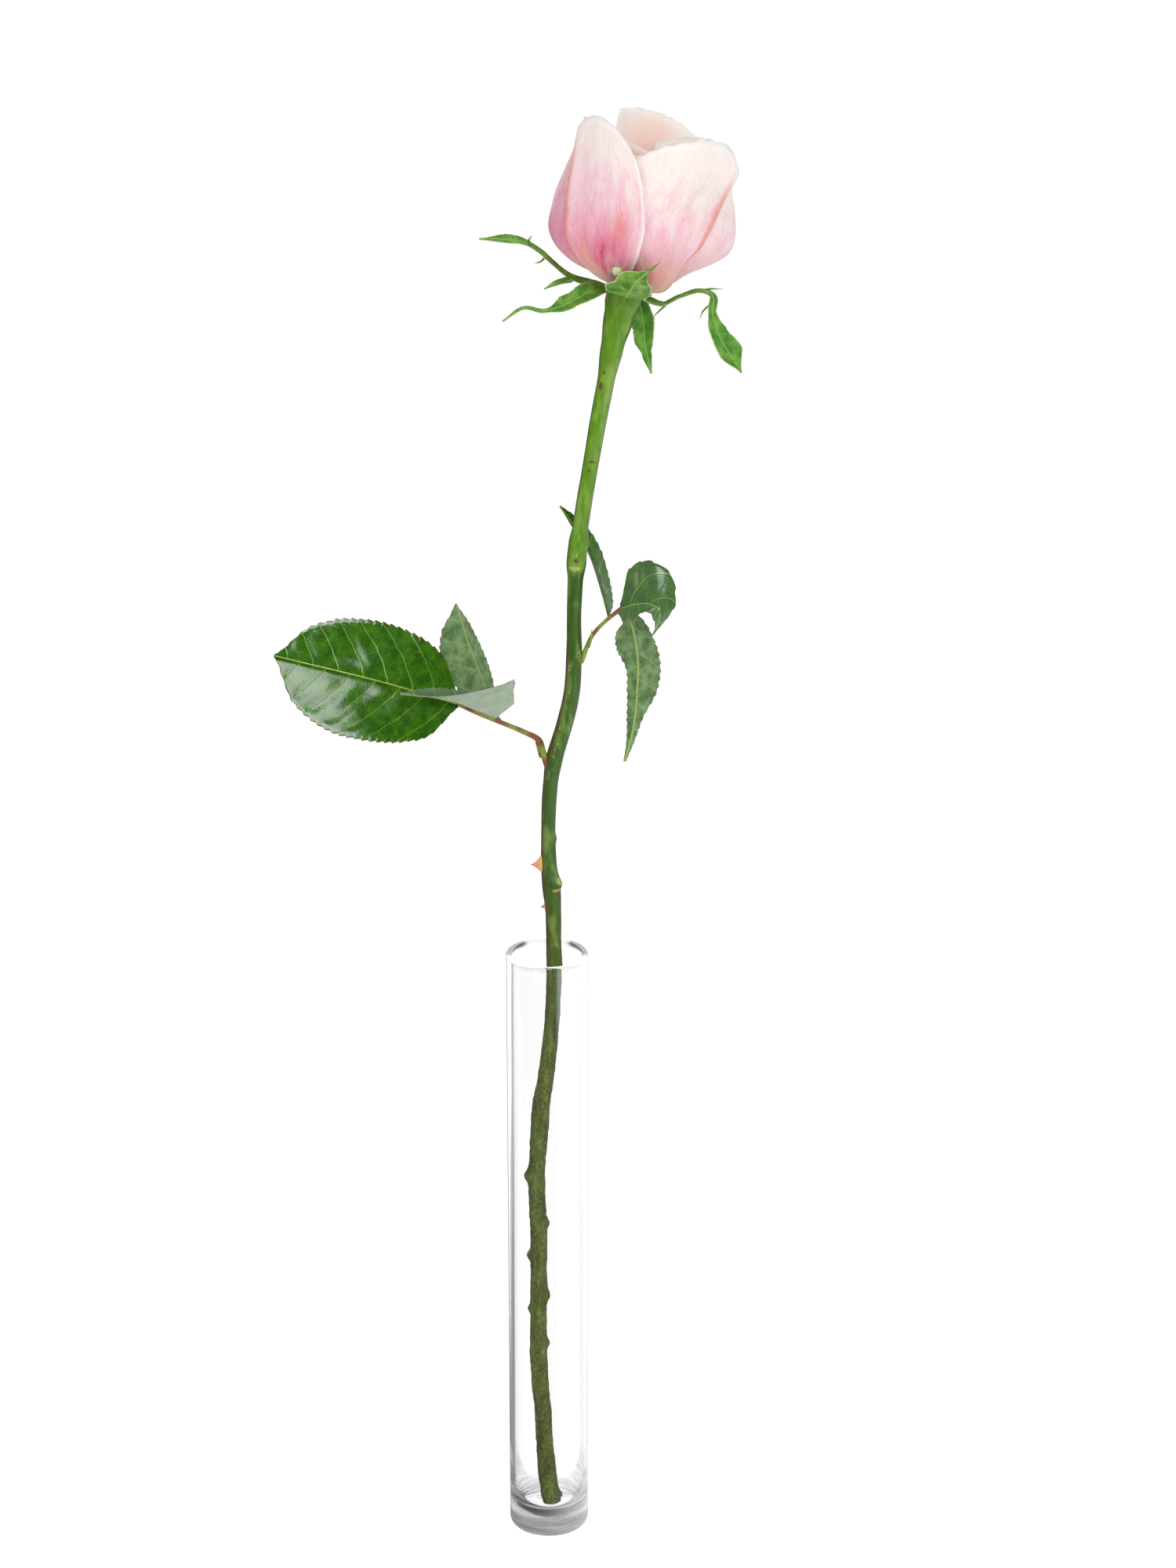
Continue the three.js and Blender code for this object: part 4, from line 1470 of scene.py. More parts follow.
    def build(self) -> bpy.types.Object:
        """Lays the cane and marks its scars, pale patches and brown flush.

        Returns:
            The cane.
        """
        line = self.middle()
        told: dict[str, Array] = {}

        def radius(share: Array, angle: Array) -> Array:
            """Gives the radius, and notes where each vertex lies.

            Args:
                share: the share of the length.
                angle: the angle round.

            Returns:
                The radius there.
            """
            told["heights"] = line.at(share)[:, 2]
            told["turns"] = line.turns(share, angle)
            return self._radius(line, share, angle)

        piece = lay_limb("rose_stem", line, self.sides, self.rings, radius)
        heights, turns = told["heights"], told["turns"]
        mark(piece, "scar", self._marks(self.scars, heights, turns))
        mark(piece, "pale", self._marks(self.pale_spots, heights, turns) * 0.8)
        leftness = ramp(-np.cos(turns), 0.25, 0.95)
        flushed = ramp(heights, 372, 330) * ramp(heights, 180, 235)
        patchy = ramp(roughness_at(corners(piece) / MM, 9.0, 5.0), -0.45, 0.3)
        mark(piece, "flush", leftness * flushed * (0.45 + 0.5 * patchy))
        smooth(piece)
        return piece

    def _marks(self, spots: Sequence[Spot], heights: Array, turns: Array) -> Array:
        """Adds up spots, sharpened to blots."""
        total = sum(self._patch(spot, heights, turns) for spot in spots)
        return ramp(total, 0.3, 0.62)

    def build_prickle(self, index: int, prickle: Prickle, line: Line) -> bpy.types.Object:
        """Lays one hooked, flattened prickle with its root sunk in the bark.

        Args:
            index: its number, from 1.
            prickle: its place and form.
            line: the stem's middle line.

        Returns:
            The prickle.
        """
        share = line.share_at_height(prickle.height)
        centre = line.at(np.array([share]))[0]
        heading = line.heading(np.array([share]))[0]
        turn = math.radians(prickle.turn)
        outward = np.array([math.cos(turn), math.sin(turn), 0.0])
        across = np.cross(heading, outward)
        across = across / np.linalg.norm(across)
        start = float(eased(self.girth, np.array([prickle.height]))[0]) - self.prickle_sunk
        out_marks: list[Array] = []

        def place(out: Array, angle: Array) -> Array:
            """Lays the horn's skin, and notes how far out each vertex lies.

            Args:
                out: the share from root to point.
                angle: the angle round.

            Returns:
                The points, in millimetres.
            """
            out_marks.append(out)
            swept = np.where(out < CLOSE, 0.0, (1 - out) ** self.prickle_hollow)[:, None]
            reach = (start + out * (prickle.length + self.prickle_sunk))[:, None]
            points = centre + outward * reach
            points = points + across * np.cos(angle)[:, None] * swept * self.prickle_half_width
            points = points + heading * np.sin(angle)[:, None] * swept * prickle.root
            return points + heading * (prickle.rise * out**2)[:, None]

        piece = lay_round(f"prickle_{index}", 20, 24, place)
        mark(piece, "outward", out_marks[0])
        smooth(piece)
        return piece

    def dress(self) -> None:
        """Builds the stem and its prickles, in the place of their node."""
        piece = self.build()
        dress(piece, Bark().material())
        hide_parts("stem")
        seat(piece)
        line = self.middle()
        for index, prickle in enumerate(self.prickles, start=1):
            horn = self.build_prickle(index, prickle, line)
            dress(horn, PrickleHorn().material())
            seat(horn)


# ------------------------------------------------------------------ the head


@dataclass(frozen=True)
class Head:
    """The place and lean of the flower head: its origin is the middle of the bloom's base."""

    origin: Triple = (28.7, 26, 479.8)
    lean_right: float = 14.0
    lean_back: float = 12.0

    def lift(self, points: Array) -> Array:
        """Carries points from the head's own frame to the part's.

        Args:
            points: rows in the head's frame.

        Returns:
            The same points in the part's frame.
        """
        right, back = math.radians(self.lean_right), math.radians(-self.lean_back)
        lean_y = np.array(
            [[math.cos(right), 0, math.sin(right)], [0, 1, 0], [-math.sin(right), 0, math.cos(right)]]
        )
        lean_x = np.array(
            [[1, 0, 0], [0, math.cos(back), -math.sin(back)], [0, math.sin(back), math.cos(back)]]
        )
        return points @ (lean_x @ lean_y).T + np.array(self.origin)


class Edge(Enum):
    """How a side edge of a petal looks."""

    PLAIN = "plain"
    WHITE = "white"
    # a peach band along the edge, partly the petal's own colour and partly painted warm shade where the
    # edge rolls, with a pale rim above and a pink line low down
    WARM = "warm"


@dataclass(frozen=True)
class Patch:
    """A soft patch of colour: where across and up the petal, half how wide, how strong."""

    FLATNESS = 0.32

    across: float
    up: float
    wide: float
    strength: float

    def cover(self, u: Array, v: Array) -> Array:
        """Gives how much of the patch lies on each point.

        Args:
            u: the share from root to tip.
            v: the place across, -1 to 1.

        Returns:
            The share of the patch there.
        """
        tall = self.wide * self.FLATNESS
        away = ((v - self.across) / self.wide) ** 2 + ((u - self.up) / tall) ** 2
        return self.strength * np.exp(-away)


@dataclass(frozen=True)
class Petal:
    """One petal on the bloom's shell; angles in degrees, lengths in millimetres.

    turn is the way round its middle, spread its half width, drift its sideways swing towards the
    top and fan its widening there. apex is where across it the top is highest, height how high,
    drops how far its left and right shoulders lie below, flare how far the top rolls out, curls
    how far its left and right edges lift, belly how far its middle swells, waist its width at the
    foot as a share of its width higher up and sway how far its foot swings sideways. size scales
    its shell, closing draws its top in and ragged is how deep its top is torn. pink raises its
    bands of colour, edges tell the looks of its left and right edges, blushes are its magenta
    patches and glows its orange ones.
    """

    turn: float
    spread: float
    height: float
    drops: tuple[float, float]
    size: float = 1.0
    drift: float = 0.0
    fan: float = 0.0
    apex: float = 0.0
    flare: float = 0.0
    curls: tuple[float, float] = (0.0, 0.0)
    belly: float = 0.0
    waist: float = 0.55
    sway: float = 0.0
    closing: float = 0.0
    ragged: float = 0.25
    pink: float = 0.0
    edges: tuple[Edge, Edge] = (Edge.PLAIN, Edge.PLAIN)
    blushes: tuple[Patch, ...] = ()
    # orange patches: the petal's own orange, and painted warm shade where the petal lies deep in the
    # bloom
    glows: tuple[Patch, ...] = ()


@dataclass
class Bloom:
    """The half open flower: outer petals listed one by one and a heart of inner ones by rule."""

    head: Head
    shell: tuple[tuple[float, float], ...] = (
        (3, -1.6), (11, -1.3), (19.5, 0.6), (27, 5.5), (32.2, 13), (34, 23), (32.4, 33),
        (30.4, 41), (28.8, 50), (28.2, 62),
    )
    shell_middle: float = 25.0
    shell_step: float = 0.036
    base_shift: float = -6.0
    base_shift_top: float = 22.0
    base_tilt: float = 1.8
    upper_shift: float = -1.5
    base_tuck: float = 5.0
    tuck_across: tuple[float, float] = (8, 26)
    tuck_up: tuple[float, float] = (8, 20)
    belly_top: float = 46.0
    thickness: float = 0.55
    edge_thinness: float = 0.12
    tears: tuple[tuple[float, float, float], ...] = ((6, 1.0, 0), (19, 0.6, 9), (47, 0.4, 5))
    tear_depth: float = 0.9
    wave_depth: float = 0.22
    inner_count: int = 13
    inner_first_turn: float = 215.0
    golden_turn: float = 137.5
    columns: int = 56
    rows: int = 56
    bead_at: Triple = (-4.6, -25, 4.2)
    bead_radius: float = 2.0
    outer: tuple[Petal, ...] = (
        Petal(
            turn=-100, spread=27.3, height=53.8, drops=(5, 12), drift=-31, fan=0.1, apex=-0.35,
            flare=0.5, curls=(0.5, 0.4), waist=0.56, edges=(Edge.WARM, Edge.WHITE), ragged=0.2,
            pink=-0.04,
            blushes=(
                Patch(0.08, 0.385, 0.42, 1.15), Patch(0.6, 0.42, 0.36, 0.5), Patch(-0.6, 0.5, 0.6, 0.25),
                Patch(0.45, 0.56, 0.34, 0.42),
            ),
            glows=(Patch(0.42, 0.57, 0.17, 0.55), Patch(-0.5, 0.36, 0.3, 0.3)),
        ),
        Petal(
            turn=-85, spread=28, height=55.8, drops=(14, 8), drift=22, fan=0.5, apex=0.45,
            flare=2.2, curls=(-2.4, 1.4), waist=1.15, sway=34, edges=(Edge.PLAIN, Edge.WARM),
            ragged=0.9, pink=-0.14,
            blushes=(
                Patch(-0.85, 0.38, 0.4, 0.8), Patch(-0.3, 0.34, 0.5, 0.4), Patch(0.5, 0.42, 0.5, 0.25),
            ),
            glows=(Patch(-0.35, 0.33, 0.25, 0.4), Patch(0.1, 0.33, 0.3, 0.3)),
        ),
        Petal(
            turn=176, spread=62, height=53, drops=(6, 4), apex=0.1, flare=0.6, belly=-1, pink=0.08,
            blushes=(Patch(0.6, 0.45, 0.5, 0.5),),
        ),
        Petal(
            turn=-14, spread=48, height=50, drops=(4, 6), flare=1.6, curls=(0, 0.8), belly=4,
            edges=(Edge.PLAIN, Edge.WARM), ragged=0.9, pink=-0.14,
            blushes=(Patch(-0.6, 0.36, 0.4, 0.4),),
        ),
        Petal(
            turn=84, spread=44, height=62, drops=(11, 2), apex=0.35, flare=1.2, ragged=1.1, pink=-0.2,
            # painted warm shade: peach near the top of this back petal, seen deep in the bloom
            glows=(Patch(0.2, 0.79, 0.6, 0.55),),
        ),
        Petal(
            turn=40, spread=52, height=56.8, drops=(5, 6), apex=0.2, flare=1, ragged=1, pink=-0.2,
            # painted warm shade: peach near the top of this back petal, seen deep in the bloom
            glows=(Patch(0.3, 0.8, 0.6, 0.5),),
        ),
        Petal(turn=152, spread=48, height=51.5, drops=(5, 4), flare=0.3, ragged=0.6, pink=-0.1),
    )

    def _reach(self, height: Array) -> Array:
        """Gives how far along the shell each height lies, from 0 at the claw to 1 at the top."""
        share = np.linspace(0.3, 1.0, 400)
        return np.interp(height, smooth_run(self.shell, share)[:, 1], share)

    def surface(self, petal: Petal, seed: float) -> Place:
        """Gives the middle surface of a petal, with its ragged top and gentle waves.

        Args:
            petal: its form.
            seed: picks its own unevenness.

        Returns:
            The surface, as a function of u up and v across.
        """

        def place(u: Array, v: Array) -> Array:
            """Lays the petal's middle surface.

            Args:
                u: the share from root to tip.
                v: the place across, -1 to 1.

            Returns:
                The points, in millimetres.
            """
            off = v - petal.apex
            left = petal.drops[0] * (off / (1 + petal.apex)) ** 2
            right = petal.drops[1] * (off / (1 - petal.apex)) ** 2
            torn = sum(
                share * waver(seed + shift, v * often) for often, share, shift in self.tears
            )
            drop = np.where(off < 0, left, right) + petal.ragged * (torn + 1) * self.tear_depth
            shell = smooth_run(self.shell, u * self._reach(petal.height - drop))
            rise = np.minimum(shell[:, 1], self.shell_middle)
            z = shell[:, 1] + (self.shell_middle - rise) * (1 - petal.size)
            side = np.where(v < 0, petal.curls[0], petal.curls[1])
            curl = side * ramp(np.abs(v), 0.55, 1) * ramp(u, 0.15, 0.5)
            swell = petal.belly * (1 - v * v) * np.sin(math.pi * np.clip(z / self.belly_top, 0, 1))
            lip = petal.flare * ramp(u, 0.78, 1) ** 2
            wave = self.wave_depth * waver(seed + 4, v * 2.2, u * 2.4)
            radius = shell[:, 0] * petal.size * (1 - petal.closing * ramp(u, 0.6, 1))
            radius = radius + lip + curl + swell + wave * ramp(u, 0.1, 0.4)
            width = petal.waist + (1 - petal.waist) * ramp(u, 0.05, 0.55)
            width = width + petal.fan * ramp(u, 0.5, 1)
            middle = petal.turn + petal.drift * u * u + petal.sway * ramp(u, 0.65, 0.2)
            angle = np.radians(middle + v * petal.spread * width)
            lifted = ramp(z, 0, self.base_shift_top)
            belly = self.shell[5][0]
            shift = self.base_shift * (radius / belly) * (1 - lifted) + self.upper_shift * lifted
            x = radius * np.cos(angle) + shift
            tuck = self.base_tuck * ramp(x, *self.tuck_across) * (1 - ramp(z, *self.tuck_up))
            z = z - self.base_tilt * (x / belly) * (1 - lifted)
            return self.head.lift(np.column_stack([x - tuck, radius * np.sin(angle), z]))

        return place

    def build_petal(self, name: str, petal: Petal, seed: float) -> bpy.types.Object:
        """Lays one petal and marks its blush, its warm patches and edges, partly painted warm shade, and
        its pale rim.

        Args:
            name: its name.
            petal: its form and colours.
            seed: picks its own unevenness.

        Returns:
            The petal.
        """
        told: dict[str, Array] = {}
        surface = self.surface(petal, seed)

        def place(u: Array, v: Array) -> Array:
            """Lays the petal, and notes where each vertex lies."""
            told.update(u=u, v=v)
            return surface(u, v)

        piece = lay_sheet(name, self.columns, self.rows, place)
        u, v = told["u"], told["v"]
        blush = sum((patch.cover(u, v) for patch in petal.blushes), start=np.zeros(len(u)))
        patchy = 0.75 + 0.4 * waver(seed + 2, v * 5, u * 3)
        span = ramp(u, 0.08, 0.25) * ramp(u, 1.0, 0.8)
        warm_tint_and_shade = sum((patch.cover(u, v) for patch in petal.glows), start=np.zeros(len(u)))
        rim = 0.6 * ramp(u, 0.96, 1.0)
        seam = np.zeros(len(u))
        for sign, edge in zip((-1, 1), petal.edges):
            if edge is Edge.WARM:
                # painted warm shade along the rolled edge, with a pale rim above and a pink line low
                # down
                warm_tint_and_shade = warm_tint_and_shade + 0.75 * ramp(v * sign, 0.86, 0.95) * span
                rim = rim + 0.8 * ramp(v * sign, 0.965, 0.99) * span * ramp(u, 0.55, 0.75)
                seam = seam + 0.8 * ramp(v * sign, 0.96, 0.985) * ramp(u, 0.72, 0.6)
            elif edge is Edge.WHITE:
                rim = rim + 0.6 * ramp(v * sign, 0.88, 0.95) * ramp(u, 0.05, 0.15)
        mark(piece, "blush", np.clip(blush * patchy + seam, 0, 1))
        mark(piece, "warm_tint_and_shade", np.clip(warm_tint_and_shade, 0, 1))
        mark(piece, "pink", np.full(len(u), petal.pink))
        mark(piece, "rim", np.clip(rim, 0, 1))
        brim = ramp(1 - np.abs(v), 0.0, 0.06) * ramp(1 - u, 0.0, 0.04)
        dress(piece, PetalSkin().material(), PetalLining().material())
        thicken(piece, self.thickness, self.edge_thinness + (1 - self.edge_thinness) * brim)
        smooth(piece)
        return piece

    def inner_petals(self) -> list[Petal]:
        """Gives the petals of the heart, each a golden turn on from the one before.

        Returns:
            The petals, from the outermost in.
        """
        petals = []
        for layer in range(self.inner_count):
            share = layer / (self.inner_count - 1)
            turn = self.inner_first_turn + layer * self.golden_turn
            rise = 4 * math.sin(math.radians(turn)) * (1 - share)
            petals.append(
                Petal(
                    turn=turn,
                    spread=50 + 50 * share,
                    height=47 - 6 * share + rise,
                    drops=(5, 5),
                    size=1 - (len(self.outer) + layer) * self.shell_step,
                    closing=0.05 + 0.5 * share,
                    ragged=0.4,
                    # painted warm shade: peach near the top of each inner petal, deep in the bloom
                    glows=(Patch(0.0, 0.9, 1.2, 0.4),),
                )
            )
        return petals

    def build_bead(self) -> bpy.types.Object:
        """Lays the small bead that sits between the petals and the front sepal.

        Returns:
            The bead.
        """
        centre = np.array(self.bead_at)

        def place(share: Array, angle: Array) -> Array:
            """Lays the bead's ribbed skin.

            Args:
                share: the share of the length.
                angle: the angle round.

            Returns:
                The points, in millimetres.
            """
            lean = math.pi * share
            ribs = 1 + 0.05 * np.cos(5 * angle) * np.sin(lean)
            reach = self.bead_radius * np.sin(lean) * ribs
            up = -self.bead_radius * 1.1 * np.cos(lean)
            ring = np.column_stack([reach * np.cos(angle), reach * np.sin(angle), up])
            return self.head.lift(centre + ring)

        piece = lay_round("bead", 24, 16, place)
        smooth(piece)
        return piece

    def dress(self) -> None:
        """Builds every petal and the bead, in the place of the bloom's node."""
        outer = [
            replace(petal, size=1 - layer * self.shell_step) for layer, petal in enumerate(self.outer)
        ]
        for index, petal in enumerate([*outer, *self.inner_petals()], start=1):
            piece = self.build_petal(f"petal_{index:02d}", petal, index * 3.7)
            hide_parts("bloom")
            seat(piece)
        bead = self.build_bead()
        dress(bead, BeadSkin().material())
        seat(bead)


# ------------------------------------------------------------------ blades along a line


@dataclass(frozen=True)
class Track:
    """The points and directions of a blade along its rib."""

    point: Array
    along: Array
    face: Array
    side: Array


def follow(line: Line, facing: tuple[Triple, Triple], share: Array) -> Track:
    """Follows a rib while the way its upper face looks turns from one direction to another.

    Args:
        line: the rib.
        facing: the directions at root and tip.
        share: the share of the rib.

    Returns:
        The points and directions there.
    """
    along = line.heading(share)
    first, last = (np.array(way, dtype=float) for way in facing)
    face = first + (last - first) * share[:, None]
    face = unit(face - along * np.sum(face * along, axis=1, keepdims=True))
    return Track(line.at(share), along, face, np.cross(face, along))


@dataclass(frozen=True)
class Thread:
    """A thin side lobe or thread of a sepal: its middle line and its radius at the root."""

    line: tuple[Triple, ...]
    radius: float


@dataclass(frozen=True)
class Sepal:
    """A sepal in the head's frame: middle line, half widths, facing at root and tip, threads."""

    name: str
    line: tuple[Triple, ...]
    widths: tuple[float, ...]
    facing: tuple[Triple, Triple]
    fold: float
    threads: tuple[Thread, ...] = ()


@dataclass
class Calyx:
    """The five sepals below the petals, with their threads and a fringe of fine teeth."""

    head: Head
    thickness: float = 0.5
    edge_thinness: float = 0.35
    unevenness: float = 0.07
    ruffle: float = 0.35
    columns: int = 20
    rows: int = 90
    sepals: tuple[Sepal, ...] = (
        Sepal(
            "sepal_upper_left",
            (
                (-6.5, 3.1, -3.4), (-20, 6, -2.6), (-27, 6, 0.5), (-33, 5.5, 3.6), (-40, 4, 5.2),
                (-54, 1, 2.6),
            ),
            (3, 2.8, 1.6, 1.7, 2.4, 0.4),
            ((0.1, -0.35, 1), (0.1, -0.7, 0.8)),
            12,
            (
                Thread(((-19, 4, -3), (-24, 1, -5.5), (-28, -1, -9)), 1.3),
                Thread(((-36, 5, 4.4), (-37, 4, 6.6), (-36.2, 3, 8.4)), 0.45),
                Thread(((-30, 6, 2), (-31.5, 5, 0), (-33.5, 4, -1)), 0.45),
            ),
        ),
        Sepal(
            "sepal_lower_left",
            (
                (-6.1, -3.7, -3.4), (-12, -8, -6), (-19, -11, -12), (-26, -12, -16),
                (-33, -13, -16.6), (-39, -14, -22.8),
            ),
            (2.6, 4.4, 3.8, 1, 0.8, 0.4),
            ((-0.45, -0.75, 0.6), (-0.2, -0.8, 0.6)),
            14,
        ),
        Sepal(
            "sepal_front",
            (
                (0.5, -7.1, -3.3), (0.5, -15, -4.4), (1, -24, -2.4), (2.5, -31, 2),
                (5.5, -34.5, 6.4),
            ),
            (3, 6.6, 8.4, 6.4, 0.6),
            ((0, 0.1, 1), (-0.15, 0.9, 0.4)),
            8,
            (Thread(((5.2, -34.2, 6), (7.2, -35.2, 8.4), (8.9, -35.6, 10.8)), 0.45),),
        ),
        Sepal(
            "sepal_right",
            (
                (6.7, -2.4, -3.4), (13.7, -6, -4), (19, -9, 0.2), (25, -12, 3.8),
                (29.6, -14, 3.2), (30.6, -15, -2), (34.6, -17, -9), (45.6, -19, -19.8),
            ),
            (2.8, 2.3, 1.8, 1.6, 1.8, 4, 6, 0.5),
            ((0, -0.4, 1), (0.55, -0.75, 0.35)),
            12,
            (
                Thread(((15, -7, -3.4), (12.5, -9, -7), (11, -10, -9.4)), 0.45),
                Thread(((23, -11, 3), (28, -12, 5.4), (33, -12.5, 6.6)), 0.45),
                Thread(((30, -14.4, 1), (27.6, -14.6, -2.6), (27.2, -14.8, -5.6)), 0.45),
            ),
        ),
        Sepal(
            "sepal_back",
            ((5.7, 5.5, -4.2), (8.8, 7, -11), (11.2, 7, -18), (13.4, 6, -23), (16, 5, -28.4)),
            (2.8, 4.4, 4, 1.9, 0.5),
            ((-0.35, -0.9, 0.2), (-0.5, -0.8, 0.1)),
            14,
        ),
    )

    def build_sepal(self, sepal: Sepal, seed: float) -> bpy.types.Object:
        """Lays one sepal: its strap, folded along the middle, with its side threads.

        Args:
            sepal: its form.
            seed: picks its own unevenness.

        Returns:
            The sepal.
        """
        line = Line(sepal.line)
        widths = evenly(sepal.widths)
        rise = math.tan(math.radians(sepal.fold))
        told: dict[str, Array] = {}

        def place(u: Array, v: Array) -> Array:
            """Lays the folded, ruffled strap, and notes where each vertex lies.

            Args:
                u: the share from root to tip.
                v: the place across, -1 to 1.

            Returns:
                The points, in millimetres.
            """
            track = follow(line, sepal.facing, u)
            uneven = waver(seed, u * 34, np.sign(v))
            half = eased(widths, u) * (1 + self.unevenness * uneven * ramp(np.abs(v), 0.6, 1))
            reach = half * v
            told.update(u=u, v=v, reach=reach)
            ruffle = self.ruffle * np.sin(u * 21 + seed + v) * np.abs(v) ** 2 * ramp(half, 1, 4)
            lift = np.abs(reach) * rise + ruffle
            points = track.point + track.side * reach[:, None] + track.face * lift[:, None]
            return self.head.lift(points)

        piece = lay_sheet(sepal.name + "_blade", self.columns, self.rows, place)
        map_surface(piece, told["u"] * line.length / 10, told["reach"] / 10)
        mark(piece, "margin", 0.8 * ramp(np.abs(told["v"]), 0.92, 0.98))
        brim = ramp(1 - np.abs(told["v"]), 0.0, 0.15)
        dress(piece, SepalSkin().material(), SepalLining().material())
        thicken(piece, self.thickness, self.edge_thinness + (1 - self.edge_thinness) * brim)
        limbs = [self.build_thread(f"{sepal.name}_{n}", t) for n, t in enumerate(sepal.threads)]
        whole = join([piece, *limbs])
        whole.name = whole.data.name = sepal.name + "_green"
        smooth(whole)
        return whole

    def build_thread(self, name: str, thread: Thread) -> bpy.types.Object:
        """Lays one tapering thread.

        Args:
            name: its name.
            thread: its line and radius.

        Returns:
            The thread.
        """
        line = Line([tuple(point) for point in self.head.lift(np.array(thread.line, dtype=float))])
        taper = evenly((1, 0.8, 0.2))
        piece = lay_limb(name, line, 10, 24, lambda share, angle: thread.radius * eased(taper, share))
        mark(piece, "margin", np.zeros(len(piece.data.vertices)))
        dress(piece, SepalSkin().material(), SepalLining().material())
        return piece

    def dress(self) -> None:
        """Builds the sepals, each in the place of its node."""
        for index, sepal in enumerate(self.sepals):
            piece = self.build_sepal(sepal, index * 5.3)
            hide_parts(sepal.name)
            seat(piece)


# ------------------------------------------------------------------ the leaves


@dataclass(frozen=True)
class Leaflet:
    """A toothed leaflet: its rib, half widths left and right seen from above, facing, and fold.

    lobe is how far its foot runs back beside the rib, sheen how silvery its underside is.
    """

    rib: tuple[Triple, ...]
    left: tuple[float, ...]
    right: tuple[float, ...]
    facing: tuple[Triple, Triple]
    fold: tuple[float, float]
    lobe: float = 0.0
    sheen: float = 0.0
    rows: int = 150
    columns: int = 72


@dataclass
class Leaf:
    """A leaf of three leaflets on a stalk, with its stipules."""

    name: str
    stalk: tuple[Triple, ...]
    stalk_radii: tuple[float, ...]
    leaflets: tuple[Leaflet, ...]
    stipules: tuple[tuple[Triple, ...], ...]
    thickness: float = 0.42
    tooth: float = 1.0
    tooth_pitch: float = 2.7
    tooth_full: float = 5.0
    tooth_rise: float = 0.82
    tooth_fall: float = 0.18
    tooth_shift: float = 0.37
    tooth_inset: float = 0.35
    vein_spacing: float = 9.2
    vein_lean: float = 0.5
    vein_bend: float = 0.016
    quilt_depth: float = 0.07
    roll_depth: float = 0.6
    roll_size: float = 15.0
    groove_depth: float = 0.35
    groove_half_width: float = 0.8
    edge_thinness: float = 0.4

    def build_leaflet(self, name: str, leaflet: Leaflet, seed: float) -> bpy.types.Object:
        """Lays one leaflet with forward teeth, quilted between its side veins.

        Args:
            name: its name.
            leaflet: its form.
            seed: picks its own unevenness.

        Returns:
            The leaflet.
        """
        line = Line(leaflet.rib)
        told: dict[str, Array] = {}
        teeth = max(int(line.length / self.tooth_pitch), 6)

        def place(u: Array, v: Array) -> Array:
            """Lays the toothed, quilted blade, and notes where each vertex lies.

            Args:
                u: the share from root to tip.
                v: the place across, -1 to 1.

            Returns:
                The points, in millimetres.
            """
            left = smooth_run([[value] for value in leaflet.left], u)[:, 0]
            right = smooth_run([[value] for value in leaflet.right], u)[:, 0]
            half = np.where(v > 0, left, right)
            phase = (u * teeth + np.where(v > 0, 0.0, self.tooth_shift)) % 1.0
            falling = (1 - phase) / self.tooth_fall
            saw = np.where(phase < self.tooth_rise, phase / self.tooth_rise, falling)
            saw = saw * (0.75 + 0.35 * waver(seed, np.floor(u * teeth) * 0.7, np.sign(v)))
            edge = ramp(np.abs(v), 0.78, 1.0)
            tooth = self.tooth * saw * np.minimum(half / self.tooth_full, 1) * edge
            inset = self.tooth * self.tooth_inset * edge * np.minimum(half / self.tooth_full, 1)
            reach = (half + tooth - inset) * v
            track = follow(line, leaflet.facing, u)
            lift = np.radians(leaflet.fold[0] + (leaflet.fold[1] - leaflet.fold[0]) * u)
            away = np.abs(reach)
            along = u * line.length
            lean = along - self.vein_lean * away - self.vein_bend * away**2
            turn = np.where(reach > 0, 0.5, 0.0)
            ridge = np.cos(2 * math.pi * (lean / self.vein_spacing + turn))
            quilt = -self.quilt_depth * ridge * ramp(away, 1, 5) * ramp(half - away, 0, 4)
            roll = self.roll_depth * waver(seed, along / self.roll_size, reach / self.roll_size)
            groove = -self.groove_depth * np.exp(-((away / self.groove_half_width) ** 2))
            height = away * np.sin(lift) + quilt + roll * ramp(away, 1, 6) + groove
            points = track.point + track.side * (reach * np.cos(lift))[:, None]
            points = points - track.along * (leaflet.lobe * np.abs(v) * (1 - u) ** 4)[:, None]
            told.update(along=along, reach=reach, v=v, saw=saw, u=u)
            return points + track.face * height[:, None]

        piece = lay_sheet(name, leaflet.columns, leaflet.rows, place)
        map_surface(piece, told["along"] / 10, told["reach"] / 10)
        tip = ramp(told["saw"], 0.35, 1.0)
        mark(piece, "margin", ramp(np.abs(told["v"]), 0.95, 0.995) * (0.35 + 0.6 * tip))
        mark(piece, "sheen", np.full(len(told["v"]), leaflet.sheen))
        brim = ramp(1 - np.abs(told["v"]), 0.0, 0.08)
        dress(piece, LeafLining().material(), LeafSkin().material())
        thicken(piece, self.thickness, self.edge_thinness + (1 - self.edge_thinness) * brim)
        smooth(piece)
        return piece

    def build_stalk(self) -> bpy.types.Object:
        """Lays the stalk, its rib going on into the end leaflet.

        Returns:
            The stalk.
        """
        girth = evenly(self.stalk_radii)
        piece = lay_limb(
            self.name + "_stalk",
            Line(self.stalk),
            20,
            120,
            lambda share, angle: eased(girth, share) * (1 - 0.12 * np.cos(2 * angle)),
        )
        smooth(piece)
        return piece

    def build_stipule(self, index: int, line: tuple[Triple, ...]) -> bpy.types.Object:
        """Lays one narrow stipule by the foot of the stalk.

        Args:
            index: its number, from 1.
            line: its middle line.

        Returns:
            The stipule.
        """
        taper = evenly((0.7, 0.55, 0.12))
        piece = lay_limb(
            f"{self.name}_stipule_{index}",
            Line(line),
            12,
            30,
            lambda share, angle: eased(taper, share) * (1 - 0.5 * np.abs(np.sin(angle))),
        )
        smooth(piece)
        return piece

